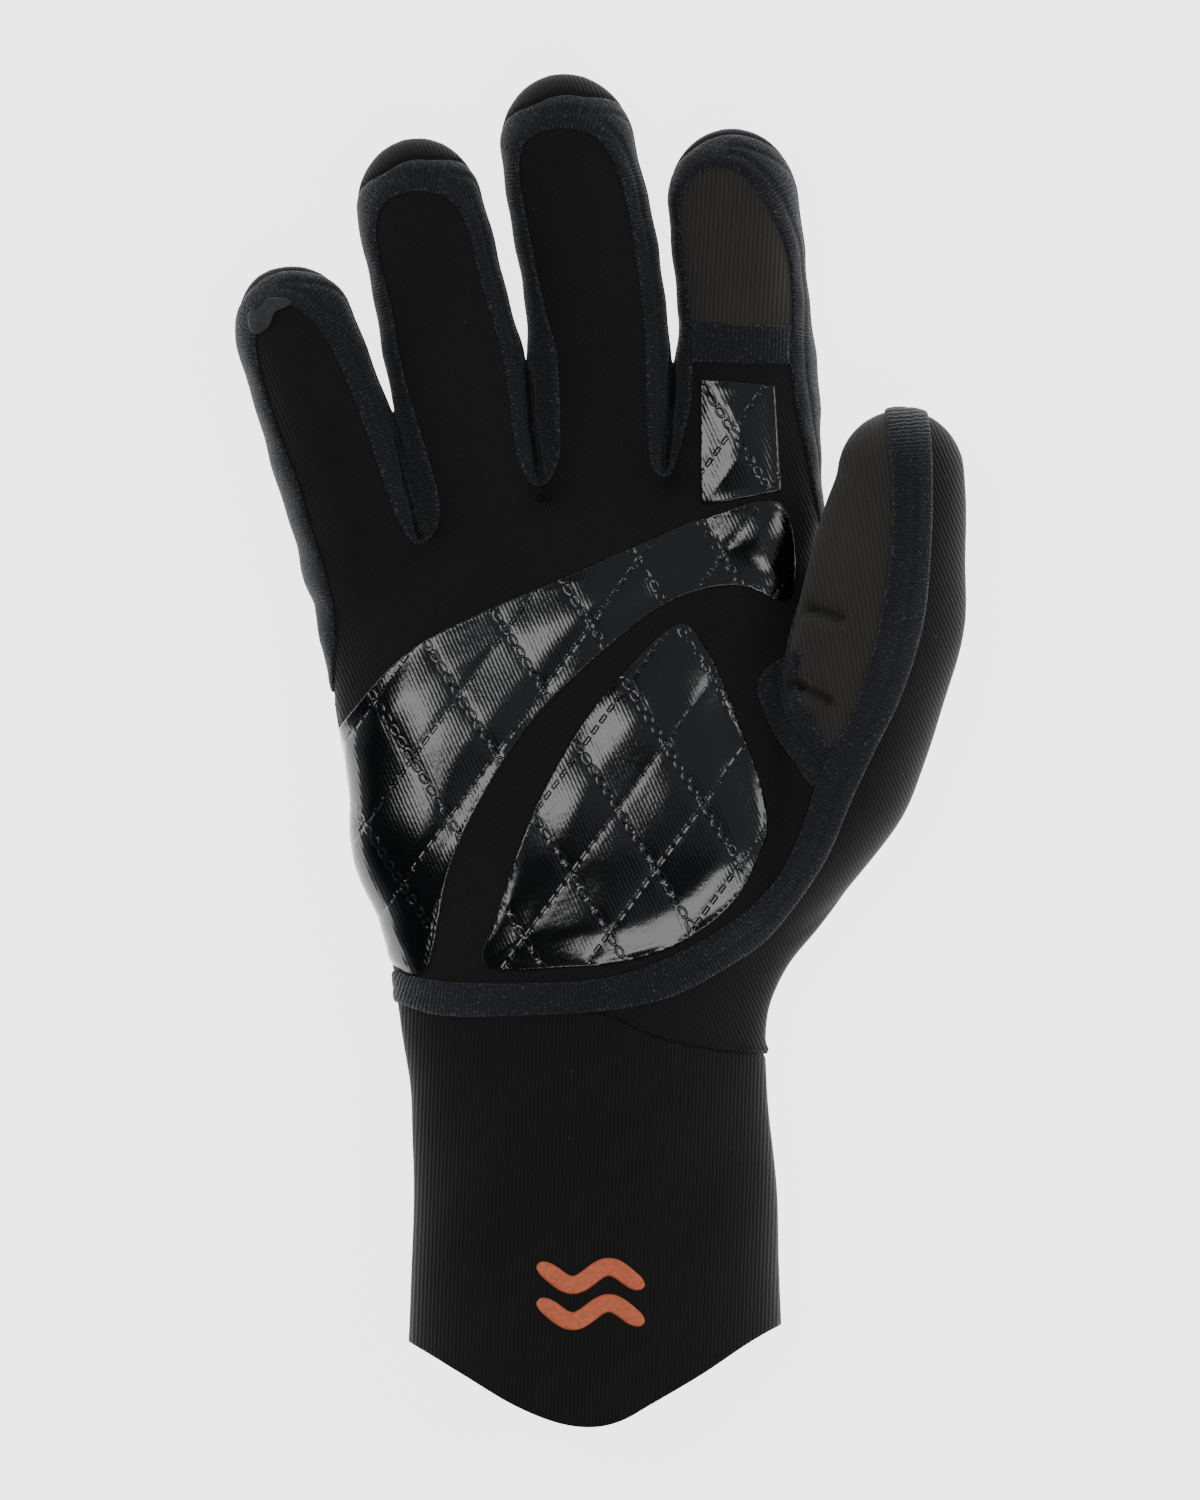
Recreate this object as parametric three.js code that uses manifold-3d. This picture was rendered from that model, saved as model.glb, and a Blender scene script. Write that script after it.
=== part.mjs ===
// Right-hand neoprene fishing glove, lying on its back with the palm up.
// Millimetres. X runs across the hand towards the thumb, Y towards the fingertips, Z up from the surface.
// Every shell, tape and print is cut from one hand form that is lofted through hand-measured sections.

import * as THREE from "three";
import { mergeVertices } from "three/addons/utils/BufferGeometryUtils.js";
import Module from "manifold-3d";

const wasm = await Module();
wasm.setup();

// Driving dimensions
const HAND_LENGTH = 205;
const CUFF_LENGTH = 95;
const PALM_WIDTH = 105;
const CUFF_WIDTH = 83;
const PALM_DEPTH = 30;
const CUFF_DEPTH = 34;
const FINGERS_ACROSS_SHARE = 2 / 7;
const FINGER_WIDTH = FINGERS_ACROSS_SHARE * PALM_WIDTH;
const FINGER_DEPTH = 21;
const THUMB_DEPTH = 28;
const THUMB_HEIGHT = 25;
const FINGER_CURL = 7;
const WALL = 2;
const GAP = 0.3;
const CUT_CLEARANCE = 0.4;
const TAPE_THICKNESS = 0.7;
const PRINT_THICKNESS = 0.5;
const THUMB_TAPE_WIDTH = 9.5;
const WRIST_TAPE_WIDTH = 7.2;
const CROTCH_TAPE_WIDTH = 7.5;
const SIDE_TAPE_WIDTH = 9;
const SLIT_TAPE_REACH = 5;
const TAPE_SHOWN_LEFT = 4.5;
const TAPE_SHOWN_RIGHT = 6.8;
const EMBLEM_WIDTH = 24;
const EMBLEM_BAR = 4;
const FLAT_DROP = 1;

// Resolution of the facets and reach of the cutting solids
const FINGER_SIDES = 12;
const BODY_SIDES = 16;
const CAP_STEPS = 3;
const CUT_TOP = 90;
const CUT_UNDER = -10;
const MARGIN = GAP + TAPE_THICKNESS + CUT_CLEARANCE;
const FAR = 400;
const SLIVER_VOLUME = 1;

// Sections of the forearm cuff, hem first. Along and sides are shares of the cuff's length and width.
// Columns: along, left, right, depth share.
const CUFF_ROWS = [
  [1.05, -0.526, 0.508, 1.03],
  [0.8, -0.516, 0.49, 1.0],
  [0.59, -0.509, 0.474, 0.96],
  [0.36, -0.507, 0.461, 0.91],
  [0.22, -0.507, 0.454, 0.88],
  [0.1, -0.53, 0.45, 0.85],
];

// Sections of the palm from the wrist seam to the knuckles.
// Columns: left x, left y, right x, right y, bow, depth share, push.
const PALM_ROWS = [
  [-0.43, 0.0, 0.365, -0.008, 0, 0.97, 0],
  [-0.437, 0.036, 0.405, 0.036, 0, 0.97, 0],
  [-0.466, 0.078, 0.473, 0.078, 0, 1.0, 0],
  [-0.505, 0.122, 0.536, 0.122, 0, 1.03, 0],
  [-0.524, 0.165, 0.572, 0.16, 0, 1.05, 0],
  [-0.53, 0.214, 0.572, 0.22, 0.005, 1.03, 0],
  [-0.545, 0.274, 0.532, 0.291, 0.013, 0.98, 0],
  [-0.566, 0.339, 0.485, 0.367, 0.024, 0.9, 0],
  [-0.59, 0.392, 0.464, 0.454, 0.039, 0.82, 0],
  [-0.598, 0.419, 0.466, 0.51, 0.052, 0.76, 0.2],
  [-0.596, 0.432, 0.464, 0.526, 0.054, 0.66, 0.7],
  [-0.592, 0.441, 0.46, 0.535, 0.054, 0.42, 1],
];

// Sections of each finger from its root inside the palm to the centre of its round tip.
// Columns: x, y, width share, depth share, lift share of the curl.
const FINGERS = {
  pinky: {
    tipSeamShare: 0.5,
    tipTapeShare: 0.29,
    rows: [
      [-0.4, 0.34, 0.55, 0.7, 0.5],
      [-0.486, 0.455, 0.93, 0.98, 0],
      [-0.512, 0.514, 1.0, 1.0, 0],
      [-0.546, 0.573, 1.02, 0.98, 0],
      [-0.592, 0.639, 0.95, 0.94, 0.15],
      [-0.649, 0.726, 0.92, 0.86, 0.55],
    ],
  },
  ring: {
    tipSeamShare: 0.75,
    tipTapeShare: 0.38,
    rows: [
      [-0.205, 0.42, 0.84, 1.02, 0],
      [-0.245, 0.514, 0.9, 1.06, 0],
      [-0.266, 0.566, 0.975, 1.04, 0],
      [-0.303, 0.68, 1.03, 1.02, 0.08],
      [-0.331, 0.748, 1.005, 0.98, 0.35],
      [-0.381, 0.856, 0.995, 0.9, 0.95],
    ],
  },
  middle: {
    tipSeamShare: 0.75,
    tipTapeShare: 0.4,
    rows: [
      [0.005, 0.45, 0.9, 1.04, 0],
      [0.001, 0.573, 0.96, 1.08, 0],
      [-0.001, 0.68, 1.055, 1.05, 0],
      [-0.006, 0.748, 1.085, 1.03, 0.12],
      [-0.036, 0.835, 1.055, 0.99, 0.45],
      [-0.067, 0.925, 1.035, 0.9, 1],
    ],
  },
  index: {
    tipSeamShare: 0.6,
    tipTapeShare: 0.3,
    rows: [
      [0.26, 0.4, 0.6, 0.75, 0.5],
      [0.296, 0.49, 1.2, 1.04, 0],
      [0.299, 0.573, 1.21, 1.06, 0],
      [0.307, 0.65, 1.13, 1.03, 0],
      [0.306, 0.726, 1.035, 1.0, 0.08],
      [0.293, 0.813, 1.0, 0.96, 0.3],
      [0.279, 0.869, 0.98, 0.9, 0.6],
    ],
  },
};

// Sections of the thumb from inside the palm to the start of its round tip.
// Columns: left x, left y, right x, right y, height share, depth share.
const THUMB_ROWS = [
  [0.235, 0.11, 0.43, 0.062, 0.58, 0.78],
  [0.298, 0.16, 0.547, 0.127, 0.65, 1.0],
  [0.33, 0.214, 0.643, 0.193, 0.72, 1.06],
  [0.362, 0.269, 0.691, 0.258, 0.8, 1.06],
  [0.388, 0.334, 0.727, 0.318, 0.88, 1.04],
  [0.4, 0.378, 0.765, 0.378, 0.94, 1.03],
  [0.415, 0.421, 0.778, 0.421, 0.98, 1.02],
  [0.443, 0.476, 0.774, 0.476, 1.0, 1.0],
  [0.473, 0.53, 0.773, 0.53, 1.02, 0.97],
  [0.5, 0.568, 0.77, 0.568, 1.04, 0.93],
];
const THUMB_TIP_SHARE = 0.5;

// Plan lines of the seams, x as a share of the palm width and y as a share of the hand length
const THUMB_SEAM = [
  [0.647, 0.68], [0.655, 0.573], [0.651, 0.497], [0.638, 0.429], [0.617, 0.378], [0.587, 0.334],
  [0.547, 0.285], [0.507, 0.228], [0.468, 0.175], [0.405, 0.122], [0.32, 0.075], [0.214, 0.035],
  [0.107, 0.012], [0.001, 0.003], [-0.148, 0.0], [-0.296, 0.002], [-0.46, 0.013],
];
const THUMB_CROTCH = [
  [0.345, 0.384], [0.377, 0.334], [0.396, 0.306], [0.43, 0.276], [0.473, 0.253], [0.53, 0.238],
];
const SLITS = [
  [[-0.45, 0.66], [-0.43, 0.617], [-0.378, 0.516]],
  [[-0.165, 0.74], [-0.152, 0.68], [-0.13, 0.578]],
  [[0.168, 0.78], [0.158, 0.728], [0.131, 0.588]],
];
const PALM_FIELD_TOP = [
  [-0.658, 0.388], [-0.541, 0.432], [-0.383, 0.497], [-0.254, 0.535], [-0.131, 0.56],
  [0.001, 0.573], [0.131, 0.568], [0.298, 0.541], [0.426, 0.497], [0.511, 0.476],
];
const INDEX_CROSS = { x: [0.1, 0.5], low: 0.69, high: 0.731 };

// Plan outlines of the grip print fields
const GRIP_UPPER = [
  [-0.594, 0.247], [-0.49, 0.332], [-0.381, 0.384], [-0.241, 0.42], [-0.048, 0.462], [0.086, 0.492],
  [0.214, 0.519], [0.386, 0.535], [0.405, 0.433], [0.288, 0.447], [0.154, 0.431], [0.022, 0.382],
  [-0.135, 0.305], [-0.241, 0.224], [-0.318, 0.14], [-0.364, 0.034], [-0.434, 0.034], [-0.6, 0.106],
];
const GRIP_LOWER = [
  [-0.241, 0.034], [-0.216, 0.095], [-0.146, 0.195], [-0.065, 0.275], [0.039, 0.348], [0.165, 0.405],
  [0.225, 0.378], [0.265, 0.334], [0.303, 0.285], [0.335, 0.24], [0.352, 0.2], [0.345, 0.165],
  [0.283, 0.104], [0.18, 0.062], [0.065, 0.04], [-0.065, 0.033],
];
const GRIP_INDEX = [[0.212, 0.672], [0.37, 0.664], [0.384, 0.549], [0.214, 0.533]];

// Plan lines of the cuff, x as a share of its width and y as a share of its length below the wrist
const CUFF_SEAM = [
  [-0.9, -0.021], [-0.375, 0.0], [0.001, 0.02], [0.122, 0.077], [0.267, 0.115], [0.9, 0.137],
];
const HEM = [
  [-0.7, 0.735], [-0.512, 0.805], [-0.37, 0.876], [-0.238, 0.946], [-0.12, 0.989], [-0.026, 1.0],
  [0.055, 0.986], [0.138, 0.946], [0.273, 0.876], [0.396, 0.805], [0.49, 0.763], [0.7, 0.7],
];
const EMBLEM_PLACE = [-0.025, 0.69];

// Plan points in millimetres from shares of the hand and of the cuff
const onHand = ([x, y]) => [x * PALM_WIDTH, y * HAND_LENGTH];
const onCuff = ([x, y]) => [x * CUFF_WIDTH, -y * CUFF_LENGTH];

// A closed solid from a geometry whose vertices are merged first
function solid(geometry) {
  geometry.deleteAttribute("normal");
  geometry.deleteAttribute("uv");
  const merged = mergeVertices(geometry, 1e-4);
  const vertProperties = new Float32Array(merged.attributes.position.array);
  const triVerts = new Uint32Array(merged.index.array);
  return new wasm.Manifold(new wasm.Mesh({ numProp: 3, vertProperties, triVerts }));
}

// A skin over a row of rings with equally many points, closed at both ends
function skin(rings) {
  const sides = rings[0].length;
  const points = rings.flat();
  const triangles = [];
  const corner = (row, side) => row * sides + (side % sides);
  for (let row = 0; row + 1 < rings.length; row += 1) {
    for (let side = 0; side < sides; side += 1) {
      triangles.push(corner(row, side), corner(row + 1, side), corner(row, side + 1));
      triangles.push(corner(row + 1, side), corner(row + 1, side + 1), corner(row, side + 1));
    }
  }
  const middle = (ring) => [0, 1, 2].map((axis) => ring.reduce((sum, p) => sum + p[axis], 0) / sides);
  const start = points.length;
  points.push(middle(rings[0]), middle(rings[rings.length - 1]));
  for (let side = 0; side < sides; side += 1) {
    triangles.push(start, corner(0, side), corner(0, side + 1));
    triangles.push(start + 1, corner(rings.length - 1, side + 1), corner(rings.length - 1, side));
  }
  const geometry = new THREE.BufferGeometry();
  geometry.setAttribute("position", new THREE.Float32BufferAttribute(points.flat(), 3));
  geometry.setIndex(triangles);
  return solid(geometry);
}

// The axes of an upright section: its centre, its direction across and the way ahead
function axes({ left, right }) {
  const across = [(right[0] - left[0]) / 2, (right[1] - left[1]) / 2];
  const half = Math.hypot(across[0], across[1]);
  const unit = [across[0] / half, across[1] / half];
  return { centre: [left[0] + across[0], left[1] + across[1]], half, unit, ahead: [-unit[1], unit[0]] };
}

// One rounded ring of a section, grown by an offset and kept above the grown surface below
function ring(section, offset, sides) {
  const { centre, half, unit, ahead } = axes(section);
  const { height, depth, bow = 0, push = 0, grow = 1, fullness = 2.3 } = section;
  const bulge = (value) => Math.sign(value) * Math.abs(value) ** (2 / fullness);
  return Array.from({ length: sides }, (_, side) => {
    const angle = (2 * Math.PI * side) / sides - Math.PI / 2;
    const across = bulge(Math.cos(angle));
    const reach = (half + grow * offset) * across;
    const shift = push * offset + bow * (1 - across * across);
    const rise = (depth / 2 + grow * offset) * bulge(Math.sin(angle));
    return [
      centre[0] + unit[0] * reach + ahead[0] * shift,
      centre[1] + unit[1] * reach + ahead[1] * shift,
      Math.max(height + rise, -offset),
    ];
  });
}

// Sections of a round tip that closes a tube after its last section
function tipSections(last, climb, radius) {
  const { centre, half, unit, ahead } = axes(last);
  return Array.from({ length: CAP_STEPS }, (_, step) => {
    const angle = ((step + 1) / (CAP_STEPS + 0.4)) * (Math.PI / 2);
    const along = radius * Math.sin(angle);
    const place = [centre[0] + ahead[0] * along, centre[1] + ahead[1] * along];
    const reach = half * Math.cos(angle);
    return {
      ...last,
      left: [place[0] - unit[0] * reach, place[1] - unit[1] * reach],
      right: [place[0] + unit[0] * reach, place[1] + unit[1] * reach],
      height: last.height + climb * along,
      depth: last.depth * Math.cos(angle),
      push: Math.sin(angle),
      grow: Math.cos(angle),
      fullness: 2,
    };
  });
}

// Sections of the cuff and palm in one row from the hem to the knuckles
function bodySections() {
  const cuff = CUFF_ROWS.map(([along, left, right, share]) => ({
    left: onCuff([left, along]),
    right: onCuff([right, along]),
    depth: share * CUFF_DEPTH,
    height: (share * CUFF_DEPTH) / 2 - FLAT_DROP,
  }));
  const palm = PALM_ROWS.map(([leftX, leftY, rightX, rightY, bow, share, push]) => ({
    left: onHand([leftX, leftY]),
    right: onHand([rightX, rightY]),
    bow: bow * HAND_LENGTH,
    depth: share * PALM_DEPTH,
    height: (Math.max(share, 0.76) * PALM_DEPTH) / 2 - FLAT_DROP,
    push,
  }));
  return [...cuff, ...palm];
}

// Sections of one finger, each square to the line through its neighbours
function fingerSections({ rows }) {
  const places = rows.map(([x, y]) => onHand([x, y]));
  return rows.map(([, , width, depthShare, lift], index) => {
    const before = places[Math.max(index - 1, 0)];
    const after = places[Math.min(index + 1, rows.length - 1)];
    const length = Math.hypot(after[0] - before[0], after[1] - before[1]);
    const ahead = [(after[0] - before[0]) / length, (after[1] - before[1]) / length];
    const reach = (width * FINGER_WIDTH) / 2;
    const depth = depthShare * FINGER_DEPTH;
    const [x, y] = places[index];
    return {
      left: [x - ahead[1] * reach, y + ahead[0] * reach],
      right: [x + ahead[1] * reach, y - ahead[0] * reach],
      depth,
      height: depth / 2 - FLAT_DROP + lift * FINGER_CURL,
    };
  });
}

function thumbSections() {
  return THUMB_ROWS.map(([leftX, leftY, rightX, rightY, heightShare, depthShare]) => ({
    left: onHand([leftX, leftY]),
    right: onHand([rightX, rightY]),
    height: heightShare * THUMB_HEIGHT,
    depth: depthShare * THUMB_DEPTH,
    fullness: 2.1,
  }));
}

// A tube with a round tip, from its sections and the length of the tip
function tube(sections, radius, offset) {
  const last = sections[sections.length - 1];
  const before = sections[sections.length - 2];
  const run = Math.hypot(
    axes(last).centre[0] - axes(before).centre[0],
    axes(last).centre[1] - axes(before).centre[1],
  );
  const climb = (last.height - before.height) / run;
  const root = { ...sections[0], push: -1 };
  const all = [root, ...sections.slice(1), ...tipSections(last, climb, radius)];
  return skin(all.map((section) => ring(section, offset, FINGER_SIDES)));
}

const body = bodySections();
const fingers = Object.values(FINGERS).map((finger) => {
  const sections = fingerSections(finger);
  return { ...finger, sections, radius: axes(sections[sections.length - 1]).half };
});
const [, , middleFinger, indexFinger] = fingers;
const thumb = thumbSections();
const thumbRadius = THUMB_TIP_SHARE * 2 * axes(thumb[thumb.length - 1]).half;

const bodyForm = (offset) => skin(body.map((section) => ring(section, offset, BODY_SIDES)));
const fingerForm = (finger, offset) => tube(finger.sections, finger.radius, offset);
const thumbForm = (offset) => tube(thumb, thumbRadius, offset);

// The whole hand form, grown or shrunk by an offset
function hand(offset) {
  const parts = [...fingers.map((finger) => fingerForm(finger, offset)), thumbForm(offset)];
  return parts.reduce((sum, part) => sum.add(part), bodyForm(offset));
}

// An upright prism over a plan outline
function prism(outline, low = CUT_UNDER, high = CUT_TOP) {
  const shape = new THREE.Shape(outline.map(([x, y]) => new THREE.Vector2(x, y)));
  const geometry = new THREE.ExtrudeGeometry(shape, { depth: high - low, bevelEnabled: false });
  return solid(geometry.translate(0, 0, low));
}

// A smooth plan line through chosen points
function smooth(points, steps) {
  const curve = new THREE.CatmullRomCurve3(points.map(([x, y]) => new THREE.Vector3(x, y, 0)));
  return curve.getPoints(steps).map(({ x, y }) => [x, y]);
}

// The same line moved sideways, to its left for a positive distance
function beside(line, distance) {
  return line.map(([x, y], index) => {
    const before = line[Math.max(index - 1, 0)];
    const after = line[Math.min(index + 1, line.length - 1)];
    const length = Math.hypot(after[0] - before[0], after[1] - before[1]);
    const shift = typeof distance === "function" ? distance(index / (line.length - 1)) : distance;
    return [x - (shift * (after[1] - before[1])) / length, y + (shift * (after[0] - before[0])) / length];
  });
}

// A band of tape along a plan line, its half width given as a number or along the line
function band(line, halfWidth) {
  const width = typeof halfWidth === "function" ? halfWidth : () => halfWidth;
  return [...beside(line, (t) => -width(t)), ...beside(line, width).reverse()];
}

// Everything above a sheet that runs through the sections at shares of their half depth
function aboveSheet(sections, share, tipShare, sink) {
  const row = (section, level, reach) => {
    const { centre, half, unit } = axes(section);
    const out = half + reach;
    const low = section.height + (level * section.depth) / 2 - sink;
    const side = (sign) => [centre[0] + sign * unit[0] * out, centre[1] + sign * unit[1] * out];
    return [[...side(1), low], [...side(1), CUT_TOP], [...side(-1), CUT_TOP], [...side(-1), low]];
  };
  const last = sections[sections.length - 1];
  const { centre, half, ahead } = axes(last);
  const beyond = [ahead[0] * half * 1.3, ahead[1] * half * 1.3];
  const tip = {
    ...last,
    left: [last.left[0] + beyond[0], last.left[1] + beyond[1]],
    right: [last.right[0] + beyond[0], last.right[1] + beyond[1]],
  };
  const rings = sections.map((section, index) => {
    const near = index === sections.length - 1 ? 0.35 : 0;
    return row(section, share + near * (tipShare - share), half * 0.2);
  });
  return skin([...rings, row(tip, tipShare, half * 0.2)]);
}

// Heights of the seams on the sides of the hand, as shares of the half depth
const FINGER_SEAM_SHARE = 0.3;
const TAPE_FOOT_SHARE = -0.1;
const BODY_SEAM_SHARE = -0.05;
const THUMB_UNDERSEAM_SHARE = -0.35;

const seamLine = smooth(THUMB_SEAM.map(onHand), 22);
const crotchLine = smooth(THUMB_CROTCH.map(onHand), 8);
const cuffLine = smooth(CUFF_SEAM.map(onCuff), 9);

// The part of each finger above its seam, as wide as the finger grown by the margin
function fingersAbove(list, share, tipExtra, sink) {
  return list
    .map((finger) => {
      const sheet = aboveSheet(finger.sections, share, finger.tipSeamShare + tipExtra, sink);
      return fingerForm(finger, MARGIN + sink).intersect(sheet);
    })
    .reduce((sum, part) => sum.add(part));
}

// Everything right of the thumb and wrist seam, moved to the left by a gap
function outsideThumbSeam(gap) {
  const edge = beside(seamLine, -gap);
  const tipX = edge[0][0];
  return prism([...edge, [-FAR, 0], [-FAR, -FAR], [FAR, -FAR], [FAR, FAR], [tipX, FAR]]);
}

function belowCuffSeam(gap) {
  const edge = beside(cuffLine, gap);
  return prism([...edge, [FAR, -FAR], [-FAR, -FAR]]);
}

// The plan of the palm below the finger roots
function palmPlan() {
  const top = PALM_FIELD_TOP.map(onHand);
  const [[, leftY], [, rightY]] = [top[0], top[top.length - 1]];
  return prism([[-FAR, -FAR], [FAR, -FAR], [FAR, rightY], ...top.reverse(), [-FAR, leftY]]);
}

// The palm side of the body between the wrist and the finger roots
const palmAbove = (sink) => aboveSheet(body, BODY_SEAM_SHARE, BODY_SEAM_SHARE, sink).intersect(palmPlan());

// The palm side of the thumb: left of its seam and above its crotch
function thumbRegion(gap) {
  const low = beside(crotchLine, -gap);
  const [[startX, startY], [endX, endY]] = [low[0], low[low.length - 1]];
  const [farLeft, farRight] = [startX - FINGER_WIDTH, endX + FINGER_WIDTH];
  const aboveCrotch = prism([...low, [farRight, endY], [farRight, FAR], [farLeft, FAR], [farLeft, startY]]);
  const sheet = aboveSheet(thumb, THUMB_UNDERSEAM_SHARE, THUMB_UNDERSEAM_SHARE, gap);
  return thumbForm(MARGIN + gap).intersect(sheet).intersect(aboveCrotch).subtract(outsideThumbSeam(-gap));
}

// The fingertip pad above the cross seam of the index finger
function indexTipRegion(gap) {
  const seam = (INDEX_CROSS.low + INDEX_CROSS.high) / 2;
  const [[left, low], [right]] = INDEX_CROSS.x.map((side) => onHand([side, seam]));
  const block = prism([[left, low - gap], [right, low - gap], [right, FAR], [left, FAR]]);
  const tip = fingersAbove([indexFinger], FINGER_SEAM_SHARE, 0, gap).intersect(block);
  return tip.subtract(fingerForm(middleFinger, -gap));
}

// The field of a finger that its tape leaves bare, with a round top short of the fingertip
function fingerField(finger, reach) {
  const shown = finger.sections.map((section) => {
    const { centre, half, unit, ahead } = axes(section);
    const at = (side) => [centre[0] + unit[0] * side, centre[1] + unit[1] * side];
    return { left: at(-half + TAPE_SHOWN_LEFT + reach), right: at(half - TAPE_SHOWN_RIGHT - reach), ahead };
  });
  const last = shown[shown.length - 1];
  const round = Math.hypot(last.right[0] - last.left[0], last.right[1] - last.left[1]) / 2;
  const back = round + finger.tipTapeShare * FINGER_WIDTH + reach - finger.radius;
  const steps = 6;
  const arc = Array.from({ length: steps + 1 }, (_, step) => {
    const angle = (step / steps) * Math.PI;
    const mix = (1 + Math.cos(angle)) / 2;
    const rise = round * Math.sin(angle) - back;
    const { left, right, ahead } = last;
    return [0, 1].map((axis) => left[axis] + mix * (right[axis] - left[axis]) + ahead[axis] * rise);
  });
  const sides = shown.slice(0, -1);
  return prism([...sides.map(({ right }) => right), ...arc, ...sides.map(({ left }) => left).reverse()]);
}

// The bare palm and fingers inside the tapes, with the tapes' rounded ends at the finger roots left out
function bareField(reach) {
  const fields = fingers.reduce((sum, finger) => sum.add(fingerField(finger, reach)), palmPlan());
  const capsules = SLITS.map((slit) => slitCapsule(slit.map(onHand), SLIT_TAPE_REACH + reach));
  return capsules.reduce((sum, capsule) => sum.subtract(capsule), fields);
}

// A strip around the slit between two fingers, with a round lower end
function slitCapsule(line, reach) {
  const sides = band(line, reach);
  const [x, y] = line[line.length - 1];
  const steps = 12;
  const disc = Array.from({ length: steps }, (_, step) => {
    const angle = (2 * Math.PI * step) / steps;
    return [x + reach * Math.cos(angle), y + reach * Math.sin(angle)];
  });
  return prism(sides).add(prism(disc));
}

// Shell of the glove, open at the hem
const hemLine = HEM.map(onCuff);
const aboveHem = prism([...hemLine, [FAR, FAR], [-FAR, FAR]]);
const shell = hand(0).subtract(hand(-WALL)).intersect(aboveHem);

// Panels of the shell
const cuff = shell.intersect(belowCuffSeam(0));
const gloveShell = shell.subtract(belowCuffSeam(GAP));
const thumbPanel = gloveShell.intersect(thumbRegion(0));
const indexTip = gloveShell.intersect(indexTipRegion(0));
const palmSide = (sink) => palmAbove(sink).add(fingersAbove(fingers, FINGER_SEAM_SHARE, 0, sink));
const palmPanel = gloveShell
  .intersect(palmSide(0).subtract(outsideThumbSeam(GAP)))
  .subtract(thumbRegion(GAP))
  .subtract(indexTipRegion(GAP));
const backPanel = gloveShell
  .subtract(palmSide(GAP).subtract(outsideThumbSeam(0)))
  .subtract(thumbRegion(GAP))
  .subtract(indexTipRegion(GAP));

// Layers that lie on the shell
const layer = (thickness) => hand(GAP + thickness).subtract(hand(GAP));
const tapeLayer = layer(TAPE_THICKNESS);
const printLayer = layer(PRINT_THICKNESS);

// Seam tapes
const mainHalf = (grow) => (t) => {
  const share = THREE.MathUtils.smoothstep(t, 0.45, 0.75);
  return THREE.MathUtils.lerp(THUMB_TAPE_WIDTH, WRIST_TAPE_WIDTH, share) / 2 + grow;
};
const bodySide = aboveSheet(body, BODY_SEAM_SHARE, BODY_SEAM_SHARE, SIDE_TAPE_WIDTH / 2);
const thumbSide = aboveSheet(thumb, 0, 0, 0);
const thumbReach = thumbForm(MARGIN);
const palmFace = bodySide.subtract(thumbReach.subtract(thumbSide)).add(thumbReach.intersect(thumbSide));
const mainBand = (grow) => prism(band(seamLine, mainHalf(grow)));
const thumbWristTape = tapeLayer.intersect(mainBand(0)).intersect(palmFace);
const crotchTape = tapeLayer
  .intersect(prism(band(crotchLine, CROTCH_TAPE_WIDTH / 2)))
  .intersect(palmFace)
  .subtract(mainBand(GAP));
const fingerTape = tapeLayer
  .intersect(fingersAbove(fingers, TAPE_FOOT_SHARE, -0.35, 0))
  .subtract(bareField(0));
const crossCorners = [
  [INDEX_CROSS.x[0], INDEX_CROSS.low],
  [INDEX_CROSS.x[1], INDEX_CROSS.low],
  [INDEX_CROSS.x[1], INDEX_CROSS.high],
  [INDEX_CROSS.x[0], INDEX_CROSS.high],
];
const indexFace = aboveSheet(indexFinger.sections, 0, 0, 0);
const indexCrossTape = tapeLayer
  .intersect(prism(crossCorners.map(onHand)))
  .intersect(bareField(GAP))
  .intersect(indexFace);

// The side tape runs from the little finger's root to the wrist tape
const rootLeft = fingers[0].sections[0].left;
const sideBlock = prism([
  [-FAR, 0],
  [0, 0],
  [0, rootLeft[1]],
  [rootLeft[0], rootLeft[1] - SIDE_TAPE_WIDTH / 4],
  [-FAR, rootLeft[1] - SIDE_TAPE_WIDTH / 4],
]);
const sideTape = tapeLayer
  .intersect(bodySide.subtract(aboveSheet(body, BODY_SEAM_SHARE, BODY_SEAM_SHARE, -SIDE_TAPE_WIDTH / 2)))
  .intersect(sideBlock)
  .subtract(mainBand(GAP))
  .subtract(fingersAbove(fingers, TAPE_FOOT_SHARE, -0.35, GAP));

// Grip print fields on the palm and the index finger
const printSide = aboveSheet(body, BODY_SEAM_SHARE, BODY_SEAM_SHARE, -SIDE_TAPE_WIDTH / 2 - GAP);
const clearOfTapes = bareField(GAP).subtract(mainBand(GAP));
const printField = (outline) => printLayer.intersect(prism(outline.map(onHand))).intersect(clearOfTapes);
const gripUpper = printField(GRIP_UPPER).intersect(printSide);
const gripLower = printField(GRIP_LOWER).intersect(printSide);
const gripIndex = printField(GRIP_INDEX).intersect(indexFace);

// Two plain wavy bars on the cuff
function waveBar(place) {
  const steps = 12;
  const line = Array.from({ length: steps + 1 }, (_, step) => {
    const along = step / steps - 0.5;
    const wave = (EMBLEM_BAR / 2) * Math.sin(along * 2 * Math.PI * 1.5);
    return [place[0] + along * EMBLEM_WIDTH, place[1] + wave];
  });
  const upper = aboveSheet(body, 0, 0, 0);
  return printLayer.intersect(prism(band(line, EMBLEM_BAR / 2))).intersect(upper);
}
const emblemCentre = onCuff(EMBLEM_PLACE);
const emblemBars = [1, -1].map((side) => waveBar([emblemCentre[0], emblemCentre[1] + side * EMBLEM_BAR]));

// Materials
const material = (color, roughness) => new THREE.MeshStandardMaterial({ color, roughness, metalness: 0 });
const neoprene = () => material("#121213", 0.9);
const ribbedKnit = () => material("#2d2a26", 0.9);
const tape = () => material("#181b26", 0.85);
const print = () => material("#050506", 0.15);
const orange = () => material("#c65a38", 0.6);

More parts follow.
